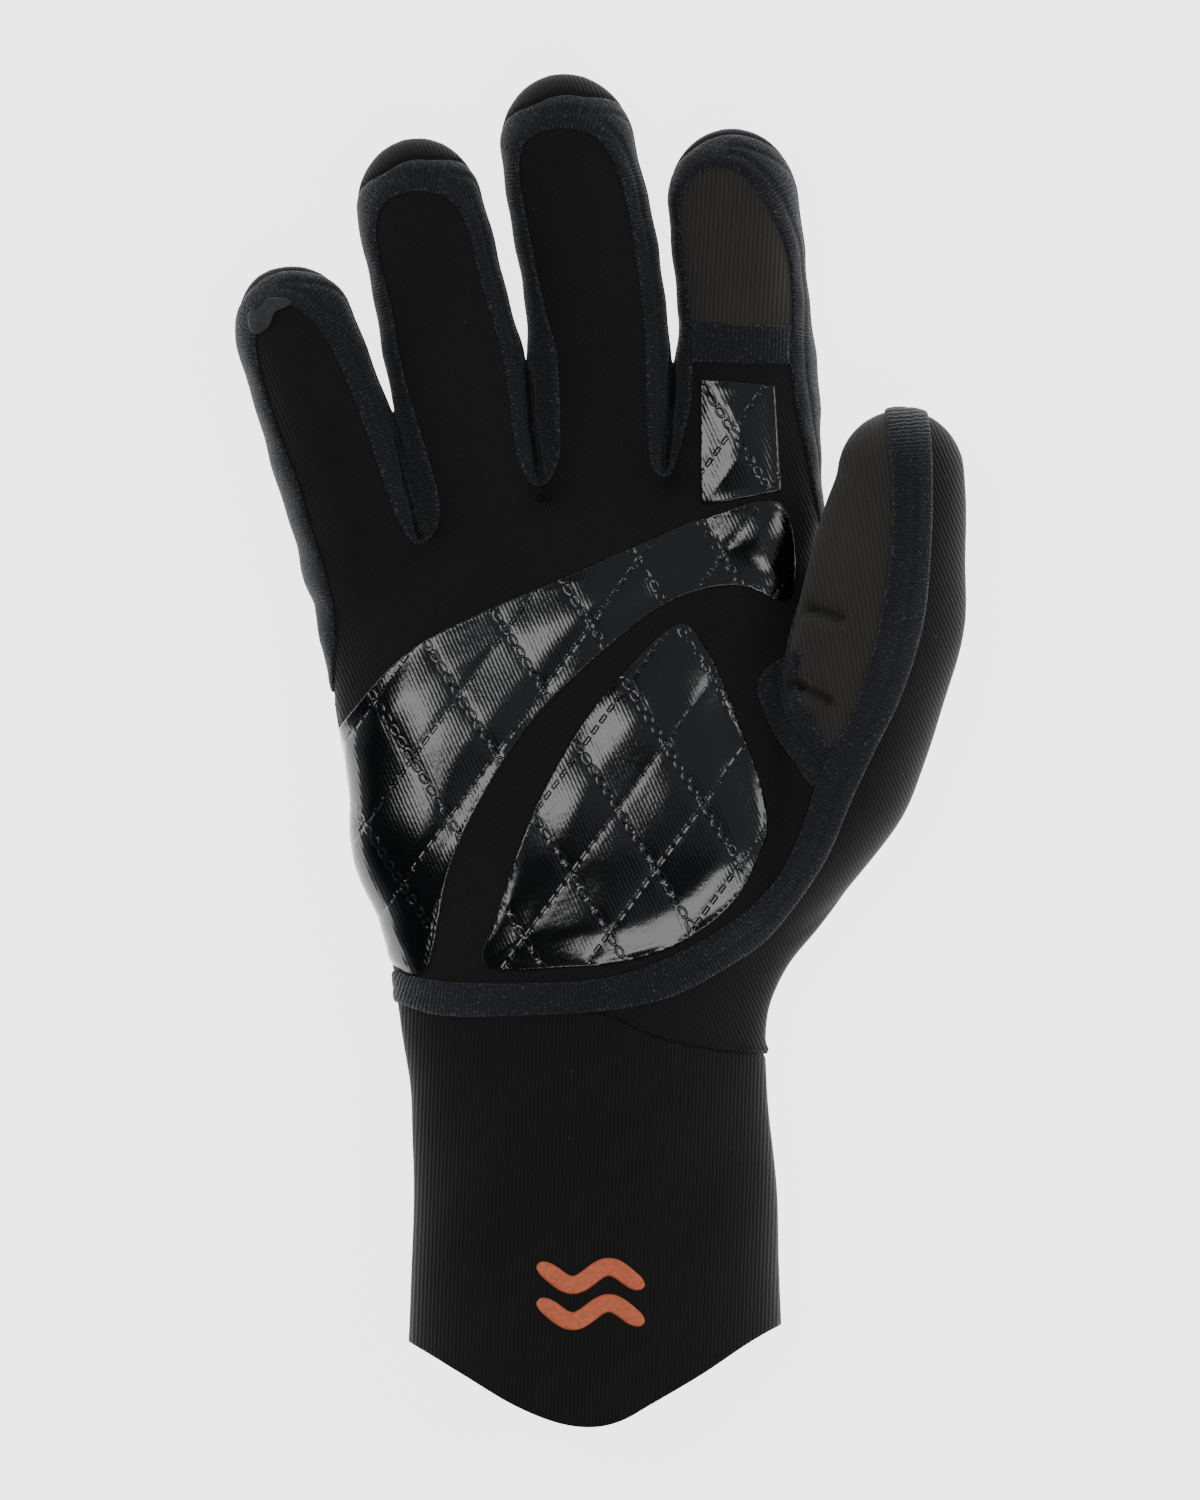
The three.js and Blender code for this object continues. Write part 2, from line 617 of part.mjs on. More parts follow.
const PIECES = [
  ["cuff", cuff, neoprene()],
  ["back_panel", backPanel, neoprene()],
  ["palm_panel", palmPanel, neoprene()],
  ["index_tip_panel", indexTip, ribbedKnit()],
  ["thumb_panel", thumbPanel, ribbedKnit()],
  ["finger_seam_tape", fingerTape, tape()],
  ["index_cross_tape", indexCrossTape, tape()],
  ["thumb_wrist_tape", thumbWristTape, tape()],
  ["thumb_crotch_tape", crotchTape, tape()],
  ["palm_side_tape", sideTape, tape()],
  ["grip_print_upper", gripUpper, print()],
  ["grip_print_lower", gripLower, print()],
  ["grip_print_index", gripIndex, print()],
  ["cuff_emblem_bar_upper", emblemBars[0], orange()],
  ["cuff_emblem_bar_lower", emblemBars[1], orange()],
];

// A cut that grazes a curved layer leaves slivers, which aren't cloth
const withoutSlivers = (form) => {
  const bodies = form.decompose().filter((part) => part.volume() > SLIVER_VOLUME);
  return bodies.reduce((sum, part) => sum.add(part));
};

// A named mesh from a finished solid
function mesh([name, form, look]) {
  const { vertProperties, triVerts } = withoutSlivers(form).getMesh();
  const geometry = new THREE.BufferGeometry();
  geometry.setAttribute("position", new THREE.Float32BufferAttribute(vertProperties, 3));
  geometry.setIndex(Array.from(triVerts));
  const piece = new THREE.Mesh(geometry, look);
  piece.name = name;
  return piece;
}

// The origin lies on the surface under the middle of the whole glove
const group = new THREE.Group();
group.position.set(0, (CUFF_LENGTH - HAND_LENGTH) / 2, 0);
group.add(...PIECES.map(mesh));

export default group;
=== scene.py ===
# %% [markdown]
# # A right-hand fishing glove, lying palm up
#
# The real glove is cut from two millimetre neoprene with a knitted face.
# Flat panels are glued and sewn together, and bonded tapes cover the seams.
# A glossy rubber film is printed on the palm for grip.
#
# Every panel, tape and print of such a glove follows one hand. So this lesson makes
# one smooth hand form first, draws the seams on it, and lifts each piece off the form.
# That way neighbouring pieces always meet, which separate models rarely do.

# %% Load the frame
import math

import bpy
import numpy as np
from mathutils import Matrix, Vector
from mathutils.bvhtree import BVHTree
from mathutils.kdtree import KDTree


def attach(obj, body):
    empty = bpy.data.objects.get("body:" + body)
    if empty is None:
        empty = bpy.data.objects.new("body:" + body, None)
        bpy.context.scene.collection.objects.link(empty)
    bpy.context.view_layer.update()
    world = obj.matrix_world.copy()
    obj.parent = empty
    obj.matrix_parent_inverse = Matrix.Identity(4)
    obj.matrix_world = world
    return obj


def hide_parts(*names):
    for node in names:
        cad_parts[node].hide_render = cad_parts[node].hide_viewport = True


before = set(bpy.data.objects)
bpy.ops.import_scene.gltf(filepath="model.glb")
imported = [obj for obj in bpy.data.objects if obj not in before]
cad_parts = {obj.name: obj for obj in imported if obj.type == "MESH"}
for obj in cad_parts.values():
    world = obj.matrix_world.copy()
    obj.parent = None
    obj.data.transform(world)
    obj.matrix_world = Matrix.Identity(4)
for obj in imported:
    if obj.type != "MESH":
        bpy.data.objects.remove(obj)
bpy.context.view_layer.update()
MM = 0.001

# %% [markdown]
# ## Sizes and sections
#
# A glove maker works from a last, which is a model of the hand. These tables are its sections.
# They repeat the sections of the CAD part, so both have one shape.
# Sides are shares of the palm width and the hand length, and the cuff has its own width and length.

# %% Driving sizes in millimetres
HAND_LENGTH = 205
CUFF_LENGTH = 95
PALM_WIDTH = 105
CUFF_WIDTH = 83
PALM_DEPTH = 30
CUFF_DEPTH = 34
FINGER_WIDTH = 30
FINGER_DEPTH = 21
THUMB_DEPTH = 28
THUMB_HEIGHT = 25
FINGER_CURL = 7
FLAT_DROP = 1
CLOTH = 2.0
WRIST_Y = (CUFF_LENGTH - HAND_LENGTH) / 2

# %% Section tables
# Columns: along, left, right, depth share.
CUFF_ROWS = [
    [1.05, -0.526, 0.508, 1.03],
    [0.8, -0.516, 0.49, 1.0],
    [0.59, -0.509, 0.474, 0.96],
    [0.36, -0.507, 0.461, 0.91],
    [0.22, -0.507, 0.454, 0.88],
    [0.1, -0.53, 0.45, 0.85],
]
# Columns: left x, left y, right x, right y, bow, depth share.
PALM_ROWS = [
    [-0.43, 0.0, 0.365, -0.008, 0, 0.97],
    [-0.437, 0.036, 0.405, 0.036, 0, 0.97],
    [-0.466, 0.078, 0.473, 0.078, 0, 1.0],
    [-0.505, 0.122, 0.536, 0.122, 0, 1.03],
    [-0.524, 0.165, 0.572, 0.16, 0, 1.05],
    [-0.53, 0.214, 0.572, 0.22, 0.005, 1.03],
    [-0.545, 0.274, 0.532, 0.291, 0.013, 0.98],
    [-0.566, 0.339, 0.485, 0.367, 0.024, 0.9],
    [-0.59, 0.392, 0.464, 0.454, 0.039, 0.82],
    [-0.598, 0.419, 0.466, 0.51, 0.052, 0.76],
    [-0.596, 0.432, 0.464, 0.526, 0.054, 0.66],
    [-0.592, 0.441, 0.46, 0.535, 0.054, 0.42],
]
# Columns: x, y, width share, depth share, lift share of the curl.
FINGER_ROWS = {
    "pinky": [
        [-0.4, 0.34, 0.55, 0.7, 0.5],
        [-0.486, 0.455, 0.93, 0.98, 0],
        [-0.512, 0.514, 1.0, 1.0, 0],
        [-0.546, 0.573, 1.02, 0.98, 0],
        [-0.592, 0.639, 0.95, 0.94, 0.15],
        [-0.649, 0.726, 0.91, 0.86, 0.55],
    ],
    "ring": [
        [-0.205, 0.42, 0.84, 1.02, 0],
        [-0.245, 0.514, 0.9, 1.06, 0],
        [-0.266, 0.566, 0.975, 1.04, 0],
        [-0.303, 0.68, 1.03, 1.02, 0.08],
        [-0.331, 0.748, 1.005, 0.98, 0.35],
        [-0.383, 0.856, 0.945, 0.9, 0.95],
    ],
    "middle": [
        [0.005, 0.45, 0.9, 1.04, 0],
        [0.001, 0.573, 0.96, 1.08, 0],
        [-0.001, 0.68, 1.055, 1.05, 0],
        [-0.009, 0.748, 1.06, 1.03, 0.12],
        [-0.036, 0.835, 1.055, 0.99, 0.45],
        [-0.067, 0.925, 1.005, 0.9, 1],
    ],
    "index": [
        [0.26, 0.4, 0.6, 0.75, 0.5],
        [0.296, 0.49, 1.2, 1.04, 0],
        [0.299, 0.573, 1.21, 1.06, 0],
        [0.307, 0.65, 1.13, 1.03, 0],
        [0.31, 0.726, 1.01, 1.0, 0.08],
        [0.293, 0.813, 1.0, 0.96, 0.3],
        [0.281, 0.869, 0.965, 0.9, 0.6],
    ],
}
# Columns: left x, left y, right x, right y, height share, depth share.
THUMB_ROWS = [
    [0.235, 0.11, 0.43, 0.062, 0.58, 0.78],
    [0.298, 0.16, 0.547, 0.127, 0.65, 1.0],
    [0.33, 0.214, 0.643, 0.193, 0.72, 1.06],
    [0.362, 0.269, 0.691, 0.258, 0.8, 1.06],
    [0.388, 0.334, 0.727, 0.318, 0.88, 1.04],
    [0.4, 0.378, 0.765, 0.378, 0.94, 1.03],
    [0.415, 0.421, 0.778, 0.421, 0.98, 1.02],
    [0.443, 0.476, 0.774, 0.476, 1.0, 1.0],
    [0.473, 0.53, 0.773, 0.53, 1.02, 0.97],
    [0.5, 0.568, 0.77, 0.568, 1.04, 0.93],
]
THUMB_TIP = 0.5
# How much the thumb rises over its length, and the depth share below which the palm's sections sink no more.
THUMB_CLIMB = 0.02 * THUMB_HEIGHT / (0.05 * HAND_LENGTH)
LEAST_LIFT = 0.76
FINGER_FULLNESS = 2.3
THUMB_FULLNESS = 2.1
# How far each fingertip's dome reaches ahead and leans across, in millimetres.
FINGER_DOMES = {"pinky": (14.0, -1.8), "ring": (15.4, 0.1), "middle": (15.7, 0.2), "index": (14.6, -0.3)}
TAPE = 0.7
TAPE_LIFT = 0.12
TAPE_ROOM = TAPE + TAPE_LIFT

# %% [markdown]
# ## Seam lines
#
# Seams and tape edges were measured on the reference picture, in its pixels.
# One line turns them into millimetres of the glove's own frame, seen from straight above.
# A smooth curve through each list gives the line that a cutter would follow.

# %% Tape and seam lines in picture pixels
PIXELS_PER_MM = 4.483
PICTURE_CENTRE = (599.5, 749.5)
# The inner edge of the finger tapes, from the little finger's outer side over all four fingers.
FINGER_TAPE_EDGE = [
    (334, 692), (334, 664), (335, 636), (333, 606), (322, 562), (309, 522), (298, 483), (285, 450),
    (272, 411), (261, 375),
    (256, 345), (258, 325), (270, 309), (289, 305), (307, 317), (324, 336), (338, 362), (353, 398),
    (369, 440), (382, 479), (395, 515), (407, 538), (420, 545), (433, 535), (440, 515), (438, 493),
    (428, 457), (418, 424), (408, 391), (398, 349), (392, 310), (382, 271), (376, 236), (379, 212),
    (390, 200), (408, 193), (428, 193), (447, 200), (460, 214), (468, 235), (477, 271), (489, 310),
    (500, 350), (507, 391), (511, 424), (516, 457), (527, 479), (539, 487), (551, 478), (559, 458),
    (560, 435), (559, 391), (556, 350), (547, 318), (538, 278), (528, 229), (520, 185), (519, 164),
    (523, 147), (534, 137), (551, 131), (574, 131), (595, 140), (610, 158), (619, 180), (627, 213),
    (636, 265), (642, 310), (645, 375), (646, 430), (649, 460), (656, 474), (665, 478), (673, 470),
    (678, 452), (686, 425), (691, 395), (692, 355), (690, 312), (684, 262), (680, 222), (682, 197),
    (691, 181),
    (706, 172), (722, 170), (737, 174), (754, 190), (771, 215), (784, 246), (790, 277), (791, 319),
    (788, 345), (791, 380), (797, 416), (804, 445), (811, 485), (820, 530),
]
FINGER_TAPE_CLOSE = [(850, 560), (850, 1150), (330, 1150), (330, 720)]
# The two edges of the tape over the thumb, down its ball and round the wrist.
MAIN_TAPE_LEFT = [
    (880, 380), (883, 412), (888, 469), (889, 514), (887, 559), (880, 603), (871, 648), (860, 684),
    (847, 719), (829, 750), (815, 783), (803, 820), (789, 853), (770, 884), (735, 917), (693, 943),
    (651, 963), (615, 974), (571, 980), (507, 982), (460, 981), (428, 978), (399, 971), (370, 960),
]
MAIN_TAPE_RIGHT = [
    (922, 380), (925, 415), (928, 450), (929, 490), (928, 536), (923, 603), (914, 648), (896, 701),
    (874, 746), (851, 795), (825, 856), (793, 905), (762, 941), (727, 965), (683, 990), (646, 1002),
    (603, 1009), (560, 1012), (507, 1014), (460, 1015), (431, 1012), (402, 1003), (370, 992),
]
CROTCH_TAPE = [
    (800, 650), (774, 662), (760, 674), (756, 690), (762, 711), (775, 736), (793, 760), (812, 786),
    (845, 790), (850, 740), (829, 745), (813, 722), (802, 702), (797, 686), (795, 672),
]
CROTCH_MIDDLE = [(790, 655), (776, 668), (777, 690), (786, 716), (801, 740), (822, 768)]
CROTCH_SEAM = [
    (700, 640), (776, 668), (785, 690), (794, 716), (808, 740), (826, 764), (860, 800), (960, 880),
]
CROSS_TAPE = [
    (640, 321), (693, 322), (740, 325), (785, 326), (850, 327),
    (850, 364), (785, 364), (740, 364), (696, 362), (640, 361),
]
CROSS_MIDDLE = [(640, 342), (693, 342), (740, 344), (785, 345), (850, 345)]
WRIST_SEAM = [
    (250, 1020), (400, 997), (500, 997), (600, 1012), (645, 1032), (699, 1046), (763, 1053), (900, 1060),
]
HEM = [
    (340, 1310), (409, 1340), (462, 1370), (511, 1399), (555, 1417), (590, 1422), (620, 1416), (651, 1399),
    (701, 1370), (747, 1340), (782, 1322), (840, 1300),
]
FILM_PATCH = [
    (250, 316), (259, 303), (275, 299), (289, 301), (293, 306), (276, 313), (270, 328), (255, 334),
]
# Level of the seam below the knit of the index fingertip.
INDEX_SEAM_LEVEL = 343
# The middle of the side tape, in millimetres.
SIDE_TAPE_MIDDLE = np.array([[-62.0, 20.0], [-56.0, -10.0], [-46.0, -54.0]])
# Folds of the thumb. Columns: start and end in picture pixels, width and height in millimetres.
THUMB_FOLDS = [
    ((799, 605), (850, 622), 1.7, -2.6), ((796, 618), (852, 637), 2.8, 1.3),
    ((786, 680), (838, 706), 1.6, -3.0), ((790, 694), (842, 721), 2.6, 1.4),
    ((804, 710), (832, 720), 1.4, -1.2),
]
# Where two fingers meet below their gap.
FINGER_CREASES = [
    [(398, 436), (406, 478), (421, 534)],
    [(528, 372), (532, 430), (541, 478)],
    [(674, 322), (671, 400), (665, 466)],
]

# %% Outlines of the grip print, as shares of the palm width and hand length
GRIP_UPPER = [
    [-0.594, 0.247], [-0.49, 0.332], [-0.381, 0.384], [-0.241, 0.42], [-0.048, 0.462], [0.086, 0.492],
    [0.214, 0.519], [0.386, 0.535], [0.405, 0.433], [0.288, 0.447], [0.154, 0.431], [0.022, 0.382],
    [-0.135, 0.305], [-0.241, 0.224], [-0.318, 0.14], [-0.364, 0.034], [-0.434, 0.034], [-0.6, 0.106],
]
GRIP_LOWER = [
    [-0.241, 0.034], [-0.216, 0.095], [-0.146, 0.195], [-0.065, 0.275], [0.039, 0.348], [0.165, 0.405],
    [0.225, 0.378], [0.265, 0.334], [0.303, 0.285], [0.335, 0.24], [0.352, 0.2], [0.345, 0.165],
    [0.283, 0.104], [0.18, 0.062], [0.065, 0.04], [-0.065, 0.033],
]
GRIP_INDEX = [[0.212, 0.672], [0.37, 0.664], [0.384, 0.549], [0.214, 0.533]]

# %% Helpers for tables and lines
def smooth_rows(rows, steps):
    """Smooth rows added between the rows of a table, through every given row."""
    rows = np.asarray(rows, float)
    ends = np.vstack([2 * rows[0] - rows[1], rows, 2 * rows[-1] - rows[-2]])
    made = []
    for row in range(len(rows) - 1):
        a, b, c, d = ends[row : row + 4]
        for t in np.arange(steps) / steps:
            bend = (2 * a - 5 * b + 4 * c - d) * t**2 + (3 * b - a - 3 * c + d) * t**3
            made.append(0.5 * (2 * b + (c - a) * t + bend))
    return np.array(made + [rows[-1]])


def from_picture(pixels):
    """Plan points in millimetres from pixels of the picture."""
    pixels = np.asarray(pixels, float)
    x = (pixels[:, 0] - PICTURE_CENTRE[0]) / PIXELS_PER_MM
    y = (PICTURE_CENTRE[1] - pixels[:, 1]) / PIXELS_PER_MM
    return np.column_stack([x, y])


def on_hand(shares):
    """Plan points in millimetres from shares of the palm."""
    shares = np.asarray(shares, float)
    return np.column_stack([shares[:, 0] * PALM_WIDTH, shares[:, 1] * HAND_LENGTH + WRIST_Y])


def closed(points, steps=1):
    """A closed outline, smoothed where steps is over one."""
    points = np.asarray(points, float)
    if steps == 1:
        return np.vstack([points, points[:1]])
    wrapped = np.vstack([points[-2:], points, points[:3]])
    return smooth_rows(wrapped, steps)[2 * steps : -2 * steps]


def nearest_on_line(points, line):
    """Distance from a line, length along it and side, left positive, for each plan point."""
    best = np.full(len(points), 1e9)
    along = np.zeros(len(points))
    side = np.ones(len(points))
    run = 0.0
    for start, end in zip(line[:-1], line[1:]):
        step = end - start
        length = np.linalg.norm(step)
        if length < 1e-6:
            continue
        share = np.clip(((points - start) @ step) / length**2, 0, 1)
        offset = points - start - share[:, None] * step
        away = np.linalg.norm(offset, axis=1)
        closer = away < best - 1e-9
        best[closer] = away[closer]
        along[closer] = run + share[closer] * length
        cross = step[0] * (points[:, 1] - start[1]) - step[1] * (points[:, 0] - start[0])
        side[closer] = np.where(cross[closer] >= 0, 1, -1)
        run += length
    return best, along, side


def signed_line(points, line):
    """Distance from a plan line, positive on its left."""
    away, _, side = nearest_on_line(points, line)
    return away * side


# %% [markdown]
# ## The hand form
#
# Each finger is a tube of rounded sections with a domed end, and the palm and cuff are one wider tube.
# They could be joined with Booleans, but the creases would stay hard and the mesh uneven.
# A voxel remesh joins them into one even skin instead, and a smoothing pass softens the creases
# as cloth would. Last, the underside is pressed flat where the glove rests on the table.

# %% One section and one tube
BODY_SIDES = 72
TUBE_SIDES = 48
TIP_STEPS = 12


def section_ring(left, right, height, depth, bow=0.0, fullness=2.3, sides=TUBE_SIDES):
    """A rounded ring between two plan points."""
    angle = 2 * np.pi * np.arange(sides) / sides - np.pi / 2
    across = np.sign(np.cos(angle)) * np.abs(np.cos(angle)) ** (2 / fullness)
    rise = np.sign(np.sin(angle)) * np.abs(np.sin(angle)) ** (2 / fullness)
    half = (right - left) / 2
    ahead = np.array([-half[1], half[0]]) / np.hypot(*half)
    plan = (left + right) / 2 + np.outer(across, half) + np.outer(bow * (1 - across**2), ahead)
    return np.column_stack([plan, height + rise * depth / 2])


def tube_mesh(rings):
    """Corners and faces of a closed tube over rings of equal length."""
    sides = len(rings[0])
    corners = np.vstack([*rings, rings[0].mean(0), rings[-1].mean(0)])
    faces = []
    for row in range(len(rings) - 1):
        for side in range(sides):
            after = (side + 1) % sides
            low, high = row * sides, (row + 1) * sides
            faces.append([low + side, low + after, high + after, high + side])
    start, end = len(corners) - 2, len(corners) - 1
    top = (len(rings) - 1) * sides
    for side in range(sides):
        after = (side + 1) % sides
        faces.append([start, after, side])
        faces.append([end, top + side, top + after])
    return corners, faces


# %% The body tube: cuff and palm
cuff_rows = [
    [left * CUFF_WIDTH, WRIST_Y - along * CUFF_LENGTH, right * CUFF_WIDTH, WRIST_Y - along * CUFF_LENGTH,
     0, depth * CUFF_DEPTH, depth * CUFF_DEPTH / 2 - FLAT_DROP]
    for along, left, right, depth in CUFF_ROWS
]
palm_rows = [
    [lx * PALM_WIDTH, ly * HAND_LENGTH + WRIST_Y, rx * PALM_WIDTH, ry * HAND_LENGTH + WRIST_Y,
     bow * HAND_LENGTH, depth * PALM_DEPTH, max(depth, LEAST_LIFT) * PALM_DEPTH / 2 - FLAT_DROP]
    for lx, ly, rx, ry, bow, depth in PALM_ROWS
]
body_rows = smooth_rows(cuff_rows + palm_rows, 5)
body_rings = [
    section_ring(row[0:2], row[2:4], row[6], row[5], bow=row[4], sides=BODY_SIDES) for row in body_rows
]
tubes = {"body": tube_mesh(body_rings)}
print("body sections:", len(body_rings))


# %% The finger and thumb tubes
# A part of a step that keeps the last section of a dome from shrinking to a point.
BLUNT = 0.25


def dome_rings(place, ahead, half, height, depth, climb, reach, tip_lean, fullness):
    """The shrinking sections that close a tube's end."""
    side = np.array([ahead[1], -ahead[0]])
    rings = []
    for step in range(1, TIP_STEPS + 1):
        angle = step / (TIP_STEPS + BLUNT) * np.pi / 2
        along, narrow = reach * np.sin(angle), np.cos(angle)
        middle = place + ahead * along + side * tip_lean * (1 - narrow)
        out = side * (half * narrow)
        full = fullness + (2 - fullness) * np.sin(angle)
        level = height + climb * along
        rings.append(section_ring(middle - out, middle + out, level, depth * narrow, fullness=full))
    return rings


paths = {}


def keep_tube(name, rings, centres, halves, heights, depths, climb, ahead):
    """Keeps a tube's mesh and the path that it follows."""
    tubes[name] = tube_mesh(rings)
    paths[name] = {"centres": centres, "halves": halves, "heights": heights, "depths": depths,
                   "climb": climb, "ahead": ahead}


for name, rows in FINGER_ROWS.items():
    table = smooth_rows(rows, 8)
    centres = on_hand(table[:, :2])
    halves = table[:, 2] * FINGER_WIDTH / 2 - TAPE_ROOM
    depths = table[:, 3] * FINGER_DEPTH
    heights = depths / 2 - FLAT_DROP + np.maximum(table[:, 4], 0) * FINGER_CURL
    ahead = np.gradient(centres, axis=0)
    ahead /= np.linalg.norm(ahead, axis=1)[:, None]
    out = np.column_stack([ahead[:, 1], -ahead[:, 0]]) * halves[:, None]
    rings = [
        section_ring(place - aside, place + aside, height, depth, fullness=FINGER_FULLNESS)
        for place, aside, height, depth in zip(centres, out, heights, depths)
    ]
    climb = (heights[-1] - heights[-4]) / np.linalg.norm(centres[-1] - centres[-4])
    rings += dome_rings(centres[-1], ahead[-1], halves[-1], heights[-1], depths[-1], climb,
                        *FINGER_DOMES[name], FINGER_FULLNESS)
    keep_tube(name, rings, centres, halves, heights, depths, climb, ahead[-1])

table = smooth_rows(THUMB_ROWS, 6)
left, right = on_hand(table[:, 0:2]), on_hand(table[:, 2:4])
centres, halves = (left + right) / 2, np.linalg.norm(right - left, axis=1) / 2
heights, depths = table[:, 4] * THUMB_HEIGHT, table[:, 5] * THUMB_DEPTH
rings = [section_ring(*sizes, fullness=THUMB_FULLNESS) for sizes in zip(left, right, heights, depths)]
across = (right[-1] - left[-1]) / (2 * halves[-1])
ahead = np.array([-across[1], across[0]])
rings += dome_rings(centres[-1], ahead, halves[-1], heights[-1], depths[-1], THUMB_CLIMB,
                    THUMB_TIP * 2 * halves[-1], 0.0, 2.0)
keep_tube("thumb", rings, centres, halves, heights, depths, THUMB_CLIMB, ahead)
print("tubes:", ", ".join(tubes))


# %% Join the tubes into one skin
def new_piece(name, corners, faces):
    """A mesh object from corners in millimetres, with its place in its mesh."""
    mesh = bpy.data.meshes.new(name)
    mesh.from_pydata((np.asarray(corners) * MM).tolist(), [], [list(face) for face in faces])
    mesh.update()
    piece = bpy.data.objects.new(name, mesh)
    bpy.context.scene.collection.objects.link(piece)
    return piece


def drop_piece(piece):
    """Removes a working piece and its mesh."""
    mesh = piece.data
    bpy.data.objects.remove(piece)
    bpy.data.meshes.remove(mesh)


def apply_modifier(piece, kind, **settings):
    """A modifier added with its settings and applied."""
    for other in bpy.context.selected_objects:
        other.select_set(False)
    bpy.context.view_layer.objects.active = piece
    piece.select_set(True)
    modifier = piece.modifiers.new(kind.title(), kind)
    for key, value in settings.items():
        setattr(modifier, key, value)
    bpy.ops.object.modifier_apply(modifier=modifier.name)


VOXEL = 1.1
all_corners, all_faces = [], []
for corners, faces in tubes.values():
    start = sum(len(block) for block in all_corners)
    all_corners.append(corners)
    all_faces += [[start + corner for corner in face] for face in faces]
form = new_piece("hand_form", np.vstack(all_corners), all_faces)
apply_modifier(form, "REMESH", mode="VOXEL", voxel_size=VOXEL * MM)
apply_modifier(form, "SMOOTH", factor=0.5, iterations=7)
print("hand form faces:", len(form.data.polygons))


# %% [markdown]
# ## Dents, folds and the flat underside
#
# Empty cloth never keeps a last's perfect curves. The palm sinks a little in its middle, the fingers have
# slack between their joints, and the thumb has two folds where it bends. Cloth simulation could find such
# shapes, but for a few known folds it is simpler to move the skin along its normals.

# %% Shape the skin
def mesh_corners(piece):
    """Corners in millimetres."""
    flat = np.empty(len(piece.data.vertices) * 3)
    piece.data.vertices.foreach_get("co", flat)
    return flat.reshape(-1, 3) / MM


def mesh_normals(piece):
    """Normals at the corners."""
    flat = np.empty(len(piece.data.vertices) * 3, np.float32)
    piece.data.vertices.foreach_get("normal", flat)
    return flat.reshape(-1, 3).astype(float)


def bell(distance, width):
    """One at no distance, falling smoothly to zero past the width."""
    return np.exp(-((distance / width) ** 2))


def step_up(value, low, high):
    """Zero below low, one above high, smooth between."""
    t = np.clip((value - low) / (high - low), 0, 1)
    return t * t * (3 - 2 * t)


def bump_line(places, start, end, width):
    """A soft ridge along a plan line, one on the line and zero away from it."""
    start, end = from_picture([start, end])
    run = end - start
    share = np.clip(((places - start) @ run) / (run @ run), 0, 1)
    away = np.linalg.norm(places - start - share[:, None] * run, axis=1)
    fade = step_up(share, 0.0, 0.2) * (1 - step_up(share, 0.75, 1.0))
    return bell(away, width) * fade


# Heights and widths in millimetres. A level is where a fold fades in above the table.
SLACK = 0.8
PALM_SINK = 2.0
FOLDED_LEVEL = (20, 26)
CREASED_LEVEL = (9, 13)
CREASE_DEPTH = 2.4
CREASE_WIDTH = 1.2
# Width of the painted shade where two fingers meet. Thumb folds deeper than the next value also get painted
# shade.
PAINTED_SHADE_WIDTH = 0.8
DEEP_FOLD = -2
PRESS_SOFTNESS = 0.6


def painted_crease_shade_amount(places):
    """How much painted shade plan points get where two fingers meet and in the deepest thumb folds, from zero
    to one.
    """
    depth = np.zeros(len(places))
    for line in FINGER_CREASES:
        depth = np.maximum(depth, bell(nearest_on_line(places, from_picture(line))[0], PAINTED_SHADE_WIDTH))
    for start, end, _, height in THUMB_FOLDS:
        if height < DEEP_FOLD:
            depth = np.maximum(depth, bump_line(places, start, end, 1.0))
    return depth


# %% Push the skin along its normals
shaped = mesh_corners(form)
normals = mesh_normals(form)
x, y, z = shaped.T
slack = 0.45 * np.sin(x / 9.5 + 1.3) * np.sin(y / 13.0 + 0.4)
slack += 0.3 * np.sin(x / 5.2 - y / 7.5) * np.sin(y / 21.0)
slack += 0.5 * np.sin(y / 17.0 + x / 30.0) * step_up(-y, 60, 90)
palm_hollow = np.exp(-(((x + 8) / 26) ** 2 + ((y + 8) / 34) ** 2))
push = slack * SLACK - PALM_SINK * palm_hollow * step_up(normals[:, 2], 0.0, 0.5)
for start, end, width, height in THUMB_FOLDS:
    push += bump_line(shaped[:, :2], start, end, width) * height * step_up(z, *FOLDED_LEVEL)
for line in FINGER_CREASES:
    away = nearest_on_line(shaped[:, :2], from_picture(line))[0]
    push -= CREASE_DEPTH * bell(away, CREASE_WIDTH) * step_up(z, *CREASED_LEVEL)
shaped = shaped + normals * push[:, None]
shaped[:, 2] = 0.5 * (shaped[:, 2] + np.sqrt(shaped[:, 2] ** 2 + PRESS_SOFTNESS**2))
form.data.vertices.foreach_set("co", (shaped * MM).ravel())
form.data.update()
print("form spans, mm:", shaped.min(0).round(1), shaped.max(0).round(1))

# %% [markdown]
# ## Distances that draw the seams
#
# A seam is easiest to describe as a distance: positive on one side, negative on the other, zero on the line.
# Each corner of the skin gets such a number for every seam, and a pattern knife later cuts where it is zero.


# %% Distances to lines and outlines
def inside_outline(points, outline):
    """Distance to a closed plan outline, positive inside it."""
    away, _, _ = nearest_on_line(points, outline)
    inside = np.zeros(len(points), bool)
    for (x1, y1), (x2, y2) in zip(outline[:-1], outline[1:]):
        crosses = (y1 > points[:, 1]) != (y2 > points[:, 1])
        with np.errstate(divide="ignore", invalid="ignore"):
            where = (x2 - x1) * (points[:, 1] - y1) / (y2 - y1) + x1
        inside ^= crosses & (points[:, 0] < where)
    return np.where(inside, away, -away)


